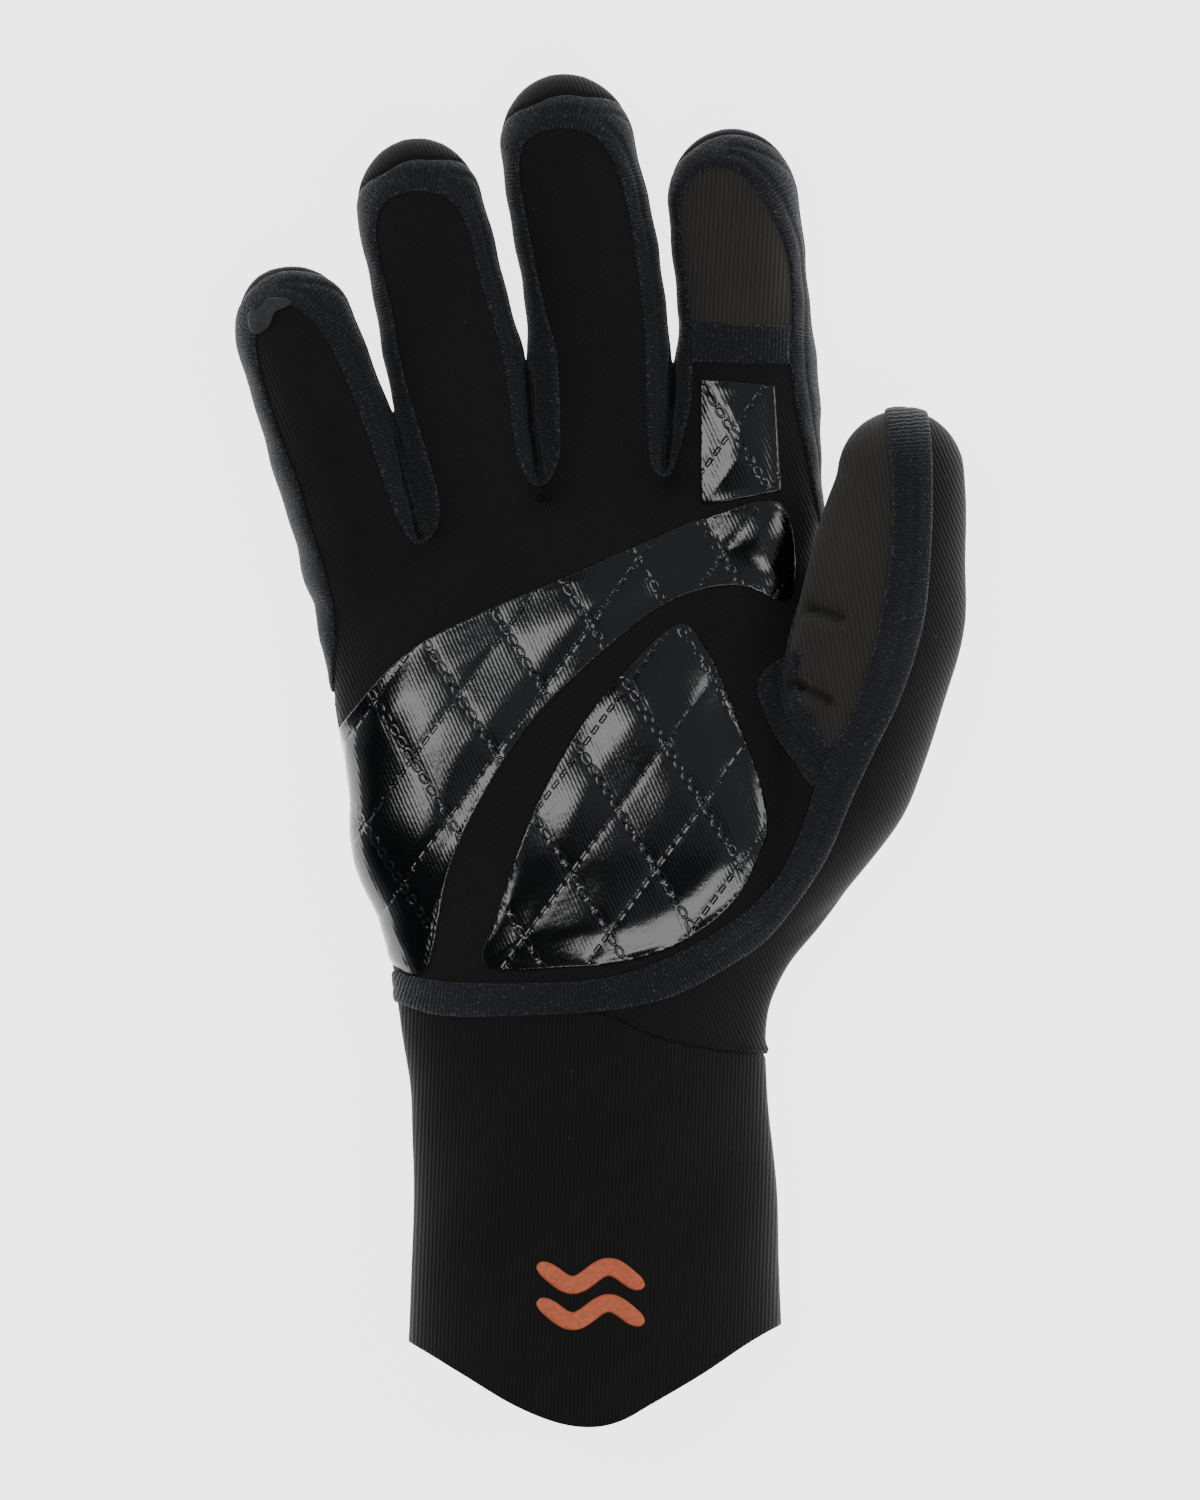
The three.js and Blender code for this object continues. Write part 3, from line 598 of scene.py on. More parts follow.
def along_finger(points, path):
    """Place of points round a tube: elevation in degrees, and how far they lie ahead of its end."""
    plan = points[:, :2]
    centres = path["centres"]
    away, along, _ = nearest_on_line(plan, centres)
    steps = np.concatenate([[0], np.cumsum(np.linalg.norm(np.diff(centres, axis=0), axis=1))])
    half = np.interp(along, steps, path["halves"])
    depth = np.interp(along, steps, path["depths"])
    beyond = np.maximum((plan - centres[-1]) @ path["ahead"], 0)
    beyond = np.where(along >= steps[-1] - 1e-6, beyond, 0)
    height = np.interp(along, steps, path["heights"]) + path["climb"] * beyond
    aside = np.maximum(away, 0.01)
    elevation = np.degrees(np.arctan2((points[:, 2] - height) / (depth / 2), aside / half))
    return elevation, np.where(beyond > 0, beyond / aside, 0)


# %% Which tube each corner belongs to
points = mesh_corners(form)
lean = mesh_normals(form)
plan = points[:, :2]
reach = {}
for name, (corners, faces) in tubes.items():
    tree = BVHTree.FromPolygons([Vector(corner) for corner in corners], faces)
    reach[name] = np.array([tree.find_nearest(Vector(point))[3] for point in points])
fingers = list(FINGER_ROWS)
names = list(tubes)
owner = np.argmin(np.column_stack([reach[name] for name in names]), axis=1)
owned = {name: owner == place for place, name in enumerate(names)}
print("corners per tube:", {name: int(mask.sum()) for name, mask in owned.items()})

# %% Elevation on the fingers and the outer edge of their tapes
# Columns: side foot, tip foot, seam on the sides, seam at the tip, all in degrees of elevation.
# A degree counts as the length that it spans at 12 mm.
TAPE_FEET = {
    "pinky": [-10, 22, 18, 34],
    "ring": [-10, 42, 18, 58],
    "middle": [-10, 42, 18, 58],
    "index": [-10, 22, 18, 40],
}
DEGREE = 12 * math.pi / 180
body_mid = np.interp(points[:, 1], body_rows[:, 1], body_rows[:, 6])
tape_outer = points[:, 2] - body_mid + 1.0
panel_side = points[:, 2] - body_mid
for name in fingers:
    elevation, forward = along_finger(points, paths[name])
    foot, tip_foot, seam, tip_seam = TAPE_FEET[name]
    ahead = step_up(forward, 0.15, 0.95)
    mask = owned[name]
    tape_outer[mask] = ((elevation - foot - ahead * (tip_foot - foot)) * DEGREE)[mask]
    panel_side[mask] = ((elevation - seam - ahead * (tip_seam - seam)) * DEGREE)[mask]
thumb_elevation, _ = along_finger(points, paths["thumb"])
thumb_share = np.minimum.reduce([reach[name] for name in names if name != "thumb"]) - reach["thumb"]

# %% All seam distances in one table
finger_edge = np.vstack([smooth_rows(from_picture(FINGER_TAPE_EDGE), 3), from_picture(FINGER_TAPE_CLOSE)])
bare_field = closed(finger_edge)
main_left = smooth_rows(from_picture(MAIN_TAPE_LEFT), 4)
main_right = smooth_rows(from_picture(MAIN_TAPE_RIGHT), 4)
main_outline = closed(np.vstack([main_left, main_right[::-1]]))


def even(line, count=80):
    """The line with evenly spaced points."""
    steps = np.concatenate([[0], np.cumsum(np.linalg.norm(np.diff(line, axis=0), axis=1))])
    places = np.linspace(0, 1, count) * steps[-1]
    return np.column_stack([np.interp(places, steps, line[:, axis]) for axis in (0, 1)])


main_centre = (even(main_left) + even(main_right)) / 2
crotch_outline = closed(from_picture(CROTCH_TAPE), 3)
crotch_middle = smooth_rows(from_picture(CROTCH_MIDDLE), 4)
crotch_seam = smooth_rows(from_picture(CROTCH_SEAM), 4)
cross_outline = closed(from_picture(CROSS_TAPE))
wrist_seam = smooth_rows(from_picture(WRIST_SEAM), 6)
hem_line = smooth_rows(from_picture(HEM), 5)
film_outline = closed(from_picture(FILM_PATCH), 3)
grip_outlines = {
    "upper": closed(on_hand(GRIP_UPPER), 5),
    "lower": closed(on_hand(GRIP_LOWER), 5),
    "index": closed(on_hand(GRIP_INDEX)),
}
field = {
    "hem": signed_line(plan, hem_line),
    "wrist": signed_line(plan, wrist_seam),
    "bare": inside_outline(plan, bare_field),
    "tape_outer": tape_outer,
    "panel_side": panel_side,
    "main": inside_outline(plan, main_outline),
    "main_side": -signed_line(plan, main_centre),
    "crotch": inside_outline(plan, crotch_outline),
    "above_crotch": signed_line(plan, crotch_seam),
    "cross": inside_outline(plan, cross_outline),
    "thumb": thumb_share,
    "thumb_under": (thumb_elevation + 22) * DEGREE,
    "film": inside_outline(plan, film_outline),
    "faces_up": lean[:, 2],
    "body_level": points[:, 2] - body_mid,
    "x": points[:, 0],
    "y": points[:, 1],
    "z": points[:, 2],
}
for name in ("pinky", "index"):
    others = np.minimum.reduce([reach[other] for other in names if other != name])
    field["own_" + name] = others - reach[name]
for name, outline in grip_outlines.items():
    field["grip_" + name] = inside_outline(plan, outline)
FIELD = {name: place for place, name in enumerate(field)}
print("seam distances:", len(FIELD))

# %% [markdown]
# ## The pattern knife
#
# A knife cut along a curve has no operator that works without a window, and a Boolean for each seam would be
# slow on so fine a skin. So the knife is a short function: where a seam's distance changes sign on an edge,
# it puts a corner on the seam, and it splits the faces there. Neighbouring faces share that corner, so the
# skin stays closed.


# %% The knife
ON_LINE = 1e-4


def flat_faces(faces):
    """All faces' corners in one row, each face's size and where it starts."""
    flat = np.fromiter((corner for face in faces for corner in face), int)
    sizes = np.fromiter((len(face) for face in faces), int)
    return flat, sizes, np.concatenate([[0], np.cumsum(sizes)[:-1]])


def face_edges(face):
    """The edges round a face."""
    return zip(face, face[1:] + face[:1])


class Skin:
    """The form's corners, their seam distances and its faces."""

    def __init__(self, piece, columns):
        self.corners = mesh_corners(piece)
        self.values = np.column_stack(columns)
        self.faces = [tuple(face.vertices) for face in piece.data.polygons]

    def cut(self, name, where):
        """Splits the faces where the named distance is zero, if all their corners pass the test."""
        value = self.values[:, FIELD[name]].copy()
        value[np.abs(value) < ON_LINE] = ON_LINE
        allowed = where(self).tolist()
        cuts, extra, faces = {}, [], []
        positive = (value > 0).tolist()
        count = len(value)
        for face in self.faces:
            signs = [positive[corner] for corner in face]
            if all(signs) or not any(signs) or not all(allowed[corner] for corner in face):
                faces.append(face)
                continue
            over, under, crossings = [], [], 0
            for here, ahead in face_edges(face):
                (over if positive[here] else under).append(here)
                if positive[here] != positive[ahead]:
                    crossings += 1
                    key = (min(here, ahead), max(here, ahead))
                    if key not in cuts:
                        share = value[here] / (value[here] - value[ahead])
                        cuts[key] = count + len(extra)
                        extra.append((here, ahead, share))
                    over.append(cuts[key])
                    under.append(cuts[key])
            if crossings == 2:
                faces += [tuple(over), tuple(under)]
            else:
                faces.append(face)
        if extra:
            here, ahead, share = (np.array(column) for column in zip(*extra))
            here, ahead, share = here.astype(int), ahead.astype(int), share[:, None]
            added = self.corners[here] * (1 - share) + self.corners[ahead] * share
            self.corners = np.vstack([self.corners, added])
            fresh = self.values[here] * (1 - share) + self.values[ahead] * share
            fresh[:, FIELD[name]] = 0
            self.values = np.vstack([self.values, fresh])
        self.faces = self.weld(faces, cuts)
        return len(extra)

    @staticmethod
    def weld(faces, cuts):
        """Puts a new corner also into a face that keeps the cut edge whole, so no gap opens."""
        if not cuts:
            return faces
        made = []
        touched = {corner for key in cuts for corner in key}
        for face in faces:
            if not any(corner in touched for corner in face):
                made.append(face)
                continue
            full = []
            for here, ahead in face_edges(face):
                full.append(here)
                key = (min(here, ahead), max(here, ahead))
                if key in cuts:
                    full.append(cuts[key])
            made.append(tuple(full))
        return made

    def get(self, name):
        """One distance at every corner."""
        return self.values[:, FIELD[name]]

    def on_faces(self, name):
        """The mean of a distance over each face."""
        flat, sizes, starts = flat_faces(self.faces)
        return np.add.reduceat(self.get(name)[flat], starts) / sizes


# %% Cut every visible seam and tape edge
skin = Skin(form, list(field.values()))


def within(limits):
    """A test that passes corners whose distances lie between a low and a high limit."""
    def test(skin):
        passed = np.ones(len(skin.corners), bool)
        for name, (low, high) in limits.items():
            passed &= (skin.get(name) > low) & (skin.get(name) < high)
        return passed
    return test


ANY = math.inf
PALM_FACE = {"faces_up": (-0.25, ANY), "body_level": (-6, ANY), "y": (WRIST_Y - 5, ANY)}
# Each seam in the order of cutting, with the limits of where it runs.
CUTS = {
    "hem": {},
    "wrist": {},
    "bare": {"tape_outer": (-1.5, ANY), "y": (10, ANY), "thumb": (-ANY, 0.4)},
    "tape_outer": {"y": (10, ANY), "thumb": (-ANY, 0.4), "bare": (-ANY, 3)},
    "main": {"thumb_under": (-3, ANY), "z": (8, ANY)},
    "crotch": PALM_FACE,
    "thumb": {"x": (25, ANY), "main_side": (-1, ANY), "body_level": (-4, ANY)},
    "thumb_under": {"thumb": (-0.1, ANY), "main_side": (-2, ANY)},
    "cross": {"own_index": (-0.2, ANY), "faces_up": (0, ANY)},
    "grip_upper": PALM_FACE,
    "grip_lower": PALM_FACE,
    "grip_index": PALM_FACE,
    "film": {"own_pinky": (-0.2, ANY), "faces_up": (0, ANY)},
}
print("corners on each seam:", {name: skin.cut(name, within(limits)) for name, limits in CUTS.items()})

# %% [markdown]
# ## Lifting pieces off the skin
#
# Each panel, tape and print is a patch of the cut skin. A panel gets its two millimetre cloth inwards,
# so its outside stays on the form. A tape or print gets its thickness outwards, thin at its edge and full
# inside it, as a bonded tape has. A closed rim joins both sides.

# %% Normals of the whole skin
def skin_normals(corners, faces):
    """Smooth normals at the corners of mixed faces."""
    flat, sizes, starts = flat_faces(faces)
    ahead = np.roll(flat, -1)
    ahead[starts + sizes - 1] = flat[starts]
    area = np.add.reduceat(np.cross(corners[flat], corners[ahead]), starts)
    total = np.zeros_like(corners)
    np.add.at(total, flat, np.repeat(area, sizes, axis=0))
    length = np.linalg.norm(total, axis=1)
    return total / np.maximum(length, 1e-12)[:, None]


skin_lean = skin_normals(skin.corners, skin.faces)
at = {name: skin.on_faces(name) for name in FIELD}
kept = at["hem"] > 0
print("skin:", len(skin.corners), "corners,", int(kept.sum()), "faces above the hem")


# %% Patches and their rims
pieces = {}


def patch(mask):
    """The chosen faces as their own corners, faces and places in the skin."""
    chosen = [skin.faces[place] for place in np.flatnonzero(mask)]
    used = np.unique(np.fromiter((corner for face in chosen for corner in face), int))
    renumber = np.full(len(skin.corners), -1)
    renumber[used] = np.arange(len(used))
    return skin.corners[used], [tuple(renumber[list(face)]) for face in chosen], used


def rim_edges(faces):
    """Edges that only one face uses, in that face's direction."""
    edges = {}
    for face in faces:
        for here, ahead in face_edges(face):
            edges[(here, ahead)] = True
    return [(here, ahead) for here, ahead in edges if (ahead, here) not in edges]


def close_sheet(name, outer, inner, faces):
    """Keeps a closed piece between two layers of the same faces. Its rim's faces come last."""
    count = len(outer)
    back = [tuple(count + corner for corner in reversed(face)) for face in faces]
    rim = [(ahead, here, count + here, count + ahead) for here, ahead in rim_edges(faces)]
    piece = new_piece(name, np.vstack([outer, inner]), list(faces) + back + rim)
    piece.data.polygons.foreach_set("use_smooth", [True] * len(piece.data.polygons))
    pieces[name] = piece
    return piece


def store(piece, name, values):
    """Keeps a number at each corner for the materials to read."""
    attribute = piece.data.attributes.new(name, "FLOAT", "POINT")
    attribute.data.foreach_set("value", np.asarray(values, np.float32))


def largest_part(mask):
    """The chosen faces that hang together in the largest patch, so that no loose crumb is cut."""
    chosen = np.flatnonzero(mask)
    edges, parent = {}, {int(place): int(place) for place in chosen}

    def root(place):
        while parent[place] != place:
            parent[place] = parent[parent[place]]
            place = parent[place]
        return place

    for place in parent:
        face = skin.faces[place]
        for here, ahead in face_edges(face):
            key = (min(here, ahead), max(here, ahead))
            if key in edges:
                parent[root(place)] = root(edges[key])
            else:
                edges[key] = place
    roots = np.array([root(int(place)) for place in chosen])
    names, counts = np.unique(roots, return_counts=True)
    result = np.zeros(len(mask), bool)
    result[chosen[roots == names[np.argmax(counts)]]] = True
    return result


# %% [markdown]
# ## Panels
#
# The cuff is its own piece of neoprene below the wrist seam. The palm piece also covers the four fingers'
# inner sides, and the back piece wraps round the outside of the thumb. The thumb's inner side and the
# index fingertip are a thin ribbed knit, which keeps the touch. Seams that no tape covers get a fine
# groove, because two cut edges never meet quite flush.

# %% Which face is cut into which panel
glove = kept & (at["wrist"] > 0)
index_seam = (PICTURE_CENTRE[1] - INDEX_SEAM_LEVEL) / PIXELS_PER_MM
on_thumb = (at["thumb"] > 0) & (at["above_crotch"] > 0)
is_thumb = glove & on_thumb & (at["main_side"] > 0) & (at["thumb_under"] > 0)
is_index_tip = glove & (at["own_index"] > -0.5) & (at["panel_side"] > 0)
is_index_tip &= (at["y"] > index_seam) & (at["x"] > 10)
is_palm = glove & (at["panel_side"] > 0) & (at["main_side"] > 0) & ~on_thumb & ~is_index_tip
panel_masks = {
    "cuff": kept & (at["wrist"] <= 0),
    "palm_panel": largest_part(is_palm),
    "index_tip_panel": largest_part(is_index_tip),
    "thumb_panel": largest_part(is_thumb),
}
panel_masks["back_panel"] = kept & ~np.logical_or.reduce(list(panel_masks.values()))
print("faces per panel:", {name: int(mask.sum()) for name, mask in panel_masks.items()})

# %% Sew the panels
SEAM_GROOVE = 0.45
ON_SEAM = 0.05
ON_HEM = 0.02
WRIST_BULGE = 0.75
TIP_PAD = 0.6
open_seam = (np.abs(skin.get("thumb_under")) < ON_SEAM) & (skin.get("thumb") > 0)
groove = np.where(open_seam | (np.abs(skin.get("wrist")) < ON_SEAM), SEAM_GROOVE, 0.0)
# The hand's edge stands over the seam on the thumb side.
past_seam = bell(skin.get("wrist") - 1.0, 1.1) * (skin.get("wrist") > ON_SEAM)
groove = groove - WRIST_BULGE * past_seam * step_up(skin.get("x"), 29, 34)
# Past the tape the fingertips are as thick as the taped part, so no step shows.
past_tape = step_up(-skin.get("tape_outer"), -0.3, 1.0) * step_up(skin.get("y"), 96, 112)
groove = groove - TIP_PAD * past_tape * step_up(skin.get("z"), 3, 7)
outer_skin = skin.corners - skin_lean * groove[:, None]
inner_skin = skin.corners - skin_lean * CLOTH
for name, mask in panel_masks.items():
    _, faces, used = patch(mask)
    piece = close_sheet(name, outer_skin[used], inner_skin[used], faces)
    # Stores the amount of painted shade, which the knit materials darken by.
    store(piece, "painted_crease_shade", np.tile(painted_crease_shade_amount(skin.corners[used][:, :2]), 2))
    if name == "cuff":
        at_hem = np.abs(np.tile(skin.get("hem")[used], 2)) < ON_HEM
        rim_start = 2 * len(faces)
        on_cut_hem = np.array([
            face.index >= rim_start and all(at_hem[corner] for corner in face.vertices)
            for face in piece.data.polygons
        ])
print("panels sewn:", ", ".join(pieces))

# %% [markdown]
# ## Seam tapes
#
# The tapes are knitted ribbons with glue on one side. One tape runs round all four fingers, one over the
# thumb and down to the wrist, and shorter ones close the thumb's crotch, the palm's side and the index tip.
# Their ribs cross the ribbon, so each tape gets coordinates along and across itself.

# %% Which face is under which tape
SIDE_TAPE_WIDTH = 7
SIDE_TAPE_LEVEL = -5.5
INDEX_TAPE_END = 26
finger_end = 0.34 * HAND_LENGTH + WRIST_Y - 2.2
on_main = glove | (kept & (at["y"] > WRIST_Y - 6))
is_main = on_main & (at["main"] > 0) & (at["thumb_under"] > -1.5) & (at["body_level"] > -4.5)
is_crotch = glove & (at["crotch"] > 0) & (at["main"] < 0) & (at["faces_up"] > -0.2)
is_finger = glove & (at["bare"] < 0) & (at["tape_outer"] > 0) & (at["thumb"] < 0) & (at["main"] < 0)
is_finger &= at["y"] > np.where(at["x"] < 0, finger_end, INDEX_TAPE_END)
is_cross = glove & (at["cross"] > 0) & (at["bare"] > 0) & (at["own_index"] > -0.2) & (at["faces_up"] > 0)
is_side = glove & (np.abs(at["body_level"] - SIDE_TAPE_LEVEL) < SIDE_TAPE_WIDTH / 2) & (at["main"] < 0)
is_side &= (at["y"] <= finger_end) & (at["faces_up"] < 0.95) & (at["x"] < -44)
tape_masks = {
    "finger_seam_tape": largest_part(is_finger),
    "thumb_wrist_tape": largest_part(is_main),
    "thumb_crotch_tape": largest_part(is_crotch),
    "index_cross_tape": largest_part(is_cross),
    "palm_side_tape": largest_part(is_side),
}
print("faces per tape:", {name: int(mask.sum()) for name, mask in tape_masks.items()})


# %% Raise a patch into a thin layer
def refine(corners, faces):
    """The patch with each face divided once and its curves kept round."""
    piece = new_piece("patch", corners, faces)
    apply_modifier(piece, "SUBSURF", levels=1, render_levels=1, boundary_smooth="PRESERVE_CORNERS")
    fine = mesh_corners(piece)
    faces = [tuple(face.vertices) for face in piece.data.polygons]
    drop_piece(piece)
    return fine, faces


def from_edge(corners, faces):
    """Distance of each corner from the patch's edge."""
    edge = {corner for pair in rim_edges(faces) for corner in pair}
    tree = KDTree(len(edge))
    for corner in edge:
        tree.insert(corners[corner], corner)
    tree.balance()
    return np.array([tree.find(corner)[2] for corner in corners])


def settled_normals(corners, faces):
    """Normals for a fine patch, evened out so that layers rise cleanly at their edges."""
    lean = skin_normals(corners, faces)
    edges = np.array([pair for face in faces for pair in face_edges(face)])
    for _ in range(2):
        total = lean.copy()
        np.add.at(total, edges[:, 0], lean[edges[:, 1]])
        np.add.at(total, edges[:, 1], lean[edges[:, 0]])
        lean = total / np.maximum(np.linalg.norm(total, axis=1), 1e-9)[:, None]
    return lean


def round_edge(distance, width):
    """The height share of a layer whose edge is rounded over a width."""
    t = np.clip(distance / width, 0, 1)
    return np.sqrt(np.clip(1 - (1 - t) ** 2, 0, 1))


EDGE_SHARE = 0.25


def raise_layer(name, mask, lift, thickness, edge, relief=None):
    """Keeps a thin closed layer over the chosen faces, and gives its corners on the skin."""
    corners, faces, _ = patch(mask)
    corners, faces = refine(corners, faces)
    lean = settled_normals(corners, faces)
    distance = from_edge(corners, faces)
    height = lift + thickness * (EDGE_SHARE + (1 - EDGE_SHARE) * round_edge(distance, edge))
    if relief is not None:
        height = height + relief(corners, distance)
    piece = close_sheet(name, corners + lean * height[:, None], corners + lean * lift * 0.5, faces)
    store(piece, "edge_mm", np.tile(distance, 2))
    # Stores the amount of painted shade, which the tape material darkens by.
    store(piece, "painted_crease_shade", np.tile(painted_crease_shade_amount(corners[:, :2]), 2))
    return corners


def ribbon_map(piece, corners, line):
    """A UV map in millimetres along and across a plan line."""
    away, along, side = nearest_on_line(corners[:, :2], line)
    u, v = np.tile(along, 2), np.tile(away * side, 2)
    layer = piece.data.uv_layers.new(name="along_across")
    loops = np.empty(len(piece.data.loops), int)
    piece.data.loops.foreach_get("vertex_index", loops)
    layer.data.foreach_set("uv", np.column_stack([u[loops], v[loops]]).ravel().astype(np.float32))


# %% Relief of the tapes
def wrist_relief(corners, distance):
    """A pressed line along the middle."""
    return -0.16 * bell(signed_line(corners[:, :2], main_centre) - 0.3, 0.6)


def crotch_relief(corners, distance):
    """A deep middle groove with a fine line on either side."""
    across = signed_line(corners[:, :2], crotch_middle)
    return -0.75 * bell(across, 0.65) - 0.3 * bell(np.abs(across) - 1.8, 0.4)


def finger_relief(corners, distance):
    """The second fold line on the outer side of each finger, and slight waves where the tape turns."""
    outer_side = np.zeros(len(corners))
    nearest = np.full(len(corners), 1e9)
    for name in fingers:
        across = signed_line(corners[:, :2], paths[name]["centres"])
        closer = np.abs(across) < nearest
        nearest = np.minimum(nearest, np.abs(across))
        outer_side[closer] = step_up(-across, 4.0, 9.0)[closer]
    wave = 0.12 * np.sin(corners[:, 1] * 0.55 + corners[:, 0] * 0.2) * step_up(distance, 0.5, 2.0)
    return wave - 0.32 * outer_side * bell(distance - 3.6, 0.55)


# %% Bond the tapes
# Columns: name, thickness, width of the rounded edge, relief, middle line.
TAPES = [
    ("finger_seam_tape", TAPE, 2.2, finger_relief, finger_edge),
    ("thumb_wrist_tape", TAPE + 0.1, 1.1, wrist_relief, main_centre),
    ("thumb_crotch_tape", TAPE, 0.9, crotch_relief, crotch_middle),
    ("index_cross_tape", TAPE - 0.1, 0.7, None, from_picture(CROSS_MIDDLE)),
    ("palm_side_tape", TAPE, 0.9, None, SIDE_TAPE_MIDDLE),
]
for name, thickness, edge, relief, line in TAPES:
    corners = raise_layer(name, tape_masks[name], TAPE_LIFT, thickness, edge, relief)
    ribbon_map(pieces[name], corners, line)
print("tapes bonded:", ", ".join(tape_masks))

# %% [markdown]
# ## The grip print
#
# The grip is a rubber film that is pressed on hot, with a quilted pattern. Two rounded fields leave a
# curved bare band between them, where the palm bends, and a third field covers the index finger.
# The lines of the quilting are pressed in, and each diamond stands up like a small cushion.
# That relief is real shape here, since it is what breaks up the reflections. Finer marks are left to bump.

# %% Quilting and print
QUILT_PITCH = (16.5, 14.5)
QUILT_TURN = (math.radians(32), math.radians(-36))
QUILT_SHIFT = 3.5
FILM_LIFT = 0.1
FILM = 0.3


def quilt_lines(plan):
    """Signed distance to the nearest line of each direction, in millimetres."""
    made = []
    for pitch, turn in zip(QUILT_PITCH, QUILT_TURN):
        across = plan[:, 0] * math.cos(turn) + plan[:, 1] * math.sin(turn) + QUILT_SHIFT
        made.append((across / pitch - np.round(across / pitch)) * pitch)
    return made


def quilt_relief(corners, distance):
    """A padded field with soft cushions between pressed lines."""
    chain, dashes = quilt_lines(corners[:, :2])
    x, y = corners[:, 0], corners[:, 1]
    pad = 0.75 * step_up(distance, 0.3, 9.5)
    groove = 0.08 * bell(dashes, 1.1) + 0.12 * bell(chain, 1.4)
    cushion = 0.1 * (1 - bell(dashes, 5.0)) * (1 - bell(chain, 5.5))
    swell = 0.45 * np.sin(x / 7.5 + 0.8 * np.sin(y / 9.0)) * np.sin(y / 8.5 + 0.9 * np.sin(x / 11.0))
    return pad + (cushion + swell - groove) * step_up(distance, 0.0, 2.0)


clear = glove & (at["bare"] > 0.4) & (at["main"] < -0.4) & (at["crotch"] < -0.4)
clear &= (at["faces_up"] > -0.1) & (at["body_level"] > -0.8)
for name in grip_outlines:
    mask = largest_part(clear & (at["grip_" + name] > 0))
    raise_layer("grip_print_" + name, mask, FILM_LIFT, FILM, 0.5, quilt_relief)
    print("grip_print_" + name, "faces:", int(mask.sum()))

# %% [markdown]
# ## Small pieces
#
# The cuff carries two short wavy bars in orange, a plain device of this lesson's own. A scrap of clear
# film is left on the little fingertip where the tape turns, as on many glued gloves.

# %% Wavy bars on the cuff
EMBLEM_CENTRE = (-0.025 * CUFF_WIDTH, WRIST_Y - 0.69 * CUFF_LENGTH)
EMBLEM_WIDTH = 24
EMBLEM_BAR = 4
WAVES = 1.5
RAY_START = 80
skin_tree = BVHTree.FromPolygons([Vector(corner) for corner in skin.corners], skin.faces)


def wavy_bar(name, level):
    """A thin printed bar with round ends, laid on the cuff."""
    share = np.linspace(-0.5, 0.5, 49)
    middle = np.column_stack([
        EMBLEM_CENTRE[0] + share * EMBLEM_WIDTH,
        EMBLEM_CENTRE[1] + level + EMBLEM_BAR / 2 * np.sin(share * 2 * np.pi * WAVES),
    ])
    ahead = np.gradient(middle, axis=0)
    ahead /= np.linalg.norm(ahead, axis=1)[:, None]
    out = np.column_stack([-ahead[:, 1], ahead[:, 0]])
    half = EMBLEM_BAR / 2 * np.sqrt(np.clip(1 - (np.abs(share) * 2) ** 8, 0.02, 1))
    rows = np.linspace(-1, 1, 9)
    grid = np.array([middle + out * (half * row)[:, None] for row in rows]).transpose(1, 0, 2)
    top = []
    for place in grid.reshape(-1, 2):
        hit = skin_tree.ray_cast(Vector((*place, RAY_START)), Vector((0, 0, -1)))[0]
        top.append([place[0], place[1], hit.z])
    top = np.array(top)
    faces = []
    for step in range(len(share) - 1):
        for row in range(len(rows) - 1):
            a = step * len(rows) + row
            faces.append((a + 1, a + len(rows) + 1, a + len(rows), a))
    edge = np.tile(1 - np.abs(rows), len(share)) * EMBLEM_BAR / 2
    lift = 0.06 + 0.22 * round_edge(edge, 0.5)
    up = np.array([0, 0, 1.0])
    close_sheet(name, top + up * lift[:, None], top + up * 0.03, faces)


wavy_bar("cuff_emblem_bar_upper", EMBLEM_BAR)
wavy_bar("cuff_emblem_bar_lower", -EMBLEM_BAR)

# %% Film scrap
film_mask = largest_part(kept & (at["film"] > 0) & (at["own_pinky"] > -0.2) & (at["faces_up"] > 0))
raise_layer("fingertip_film", film_mask, TAPE_ROOM + 0.02, 0.05, 0.3)
print("small pieces: wavy bars and film")

# %% [markdown]
# ## Materials
#
# The materials are made of nodes, so they need no pictures. Colours are the hex values that a picture editor
# shows, turned to linear light. Patterns are sized in millimetres of the real cloth. Threads finer than
# about a millimetre would vanish at this distance, so they are drawn that coarse, and the comments say where.


# %% Colour and node helpers
WAVE_SCALE = 20
NOISE, MATH, MAP_RANGE, ATTRIBUTE = (
    "ShaderNodeTexNoise", "ShaderNodeMath", "ShaderNodeMapRange", "ShaderNodeAttribute")


def linear(code):
    """Linear colour from an sRGB hex value."""
    made = []
    for place in (1, 3, 5):
        value = int(code[place : place + 2], 16) / 255
        made.append(value / 12.92 if value <= 0.04045 else ((value + 0.055) / 1.055) ** 2.4)
    return (*made, 1.0)


def add(tree, kind, settings=None, **links):
    """A node with its settings and links. A number names a socket by its place."""
    node = tree.nodes.new(kind)
    for key, value in (settings or {}).items():
        if isinstance(key, int) or key in node.inputs:
            node.inputs[key].default_value = value
        else:
            setattr(node, key, value)
    for key, source in links.items():
        socket = int(key[1:]) if key[1:].isdigit() else key.replace("_", " ")
        tree.links.new(source, node.inputs[socket])
    return node


def bands(pitch, unit=MM):
    """The scale of a wave texture whose bands repeat at a pitch."""
    return 2 * math.pi / (WAVE_SCALE * pitch * unit)


def maths(tree, operation, settings, **links):
    """The result of a math node."""
    return add(tree, MATH, {"operation": operation, **settings}, **links).outputs[0]


def eased(tree, source, low, high, start=1.0, end=0.0):
    """A value that runs smoothly from a start to an end, between two values of its source."""
    limits = {"From Min": low, "From Max": high, "To Min": start, "To Max": end}
    return add(tree, MAP_RANGE, {"interpolation_type": "SMOOTHSTEP", **limits}, Value=source).outputs["Result"]


def toned(tree, source, low, high):
    """A colour between two tones. Each is a place on the ramp and a hex value."""
    ramp = add(tree, "ShaderNodeValToRGB", None, Fac=source)
    for stop, (place, code) in zip(ramp.color_ramp.elements, (low, high)):
        stop.position, stop.color = place, linear(code)
    return ramp.outputs["Color"]


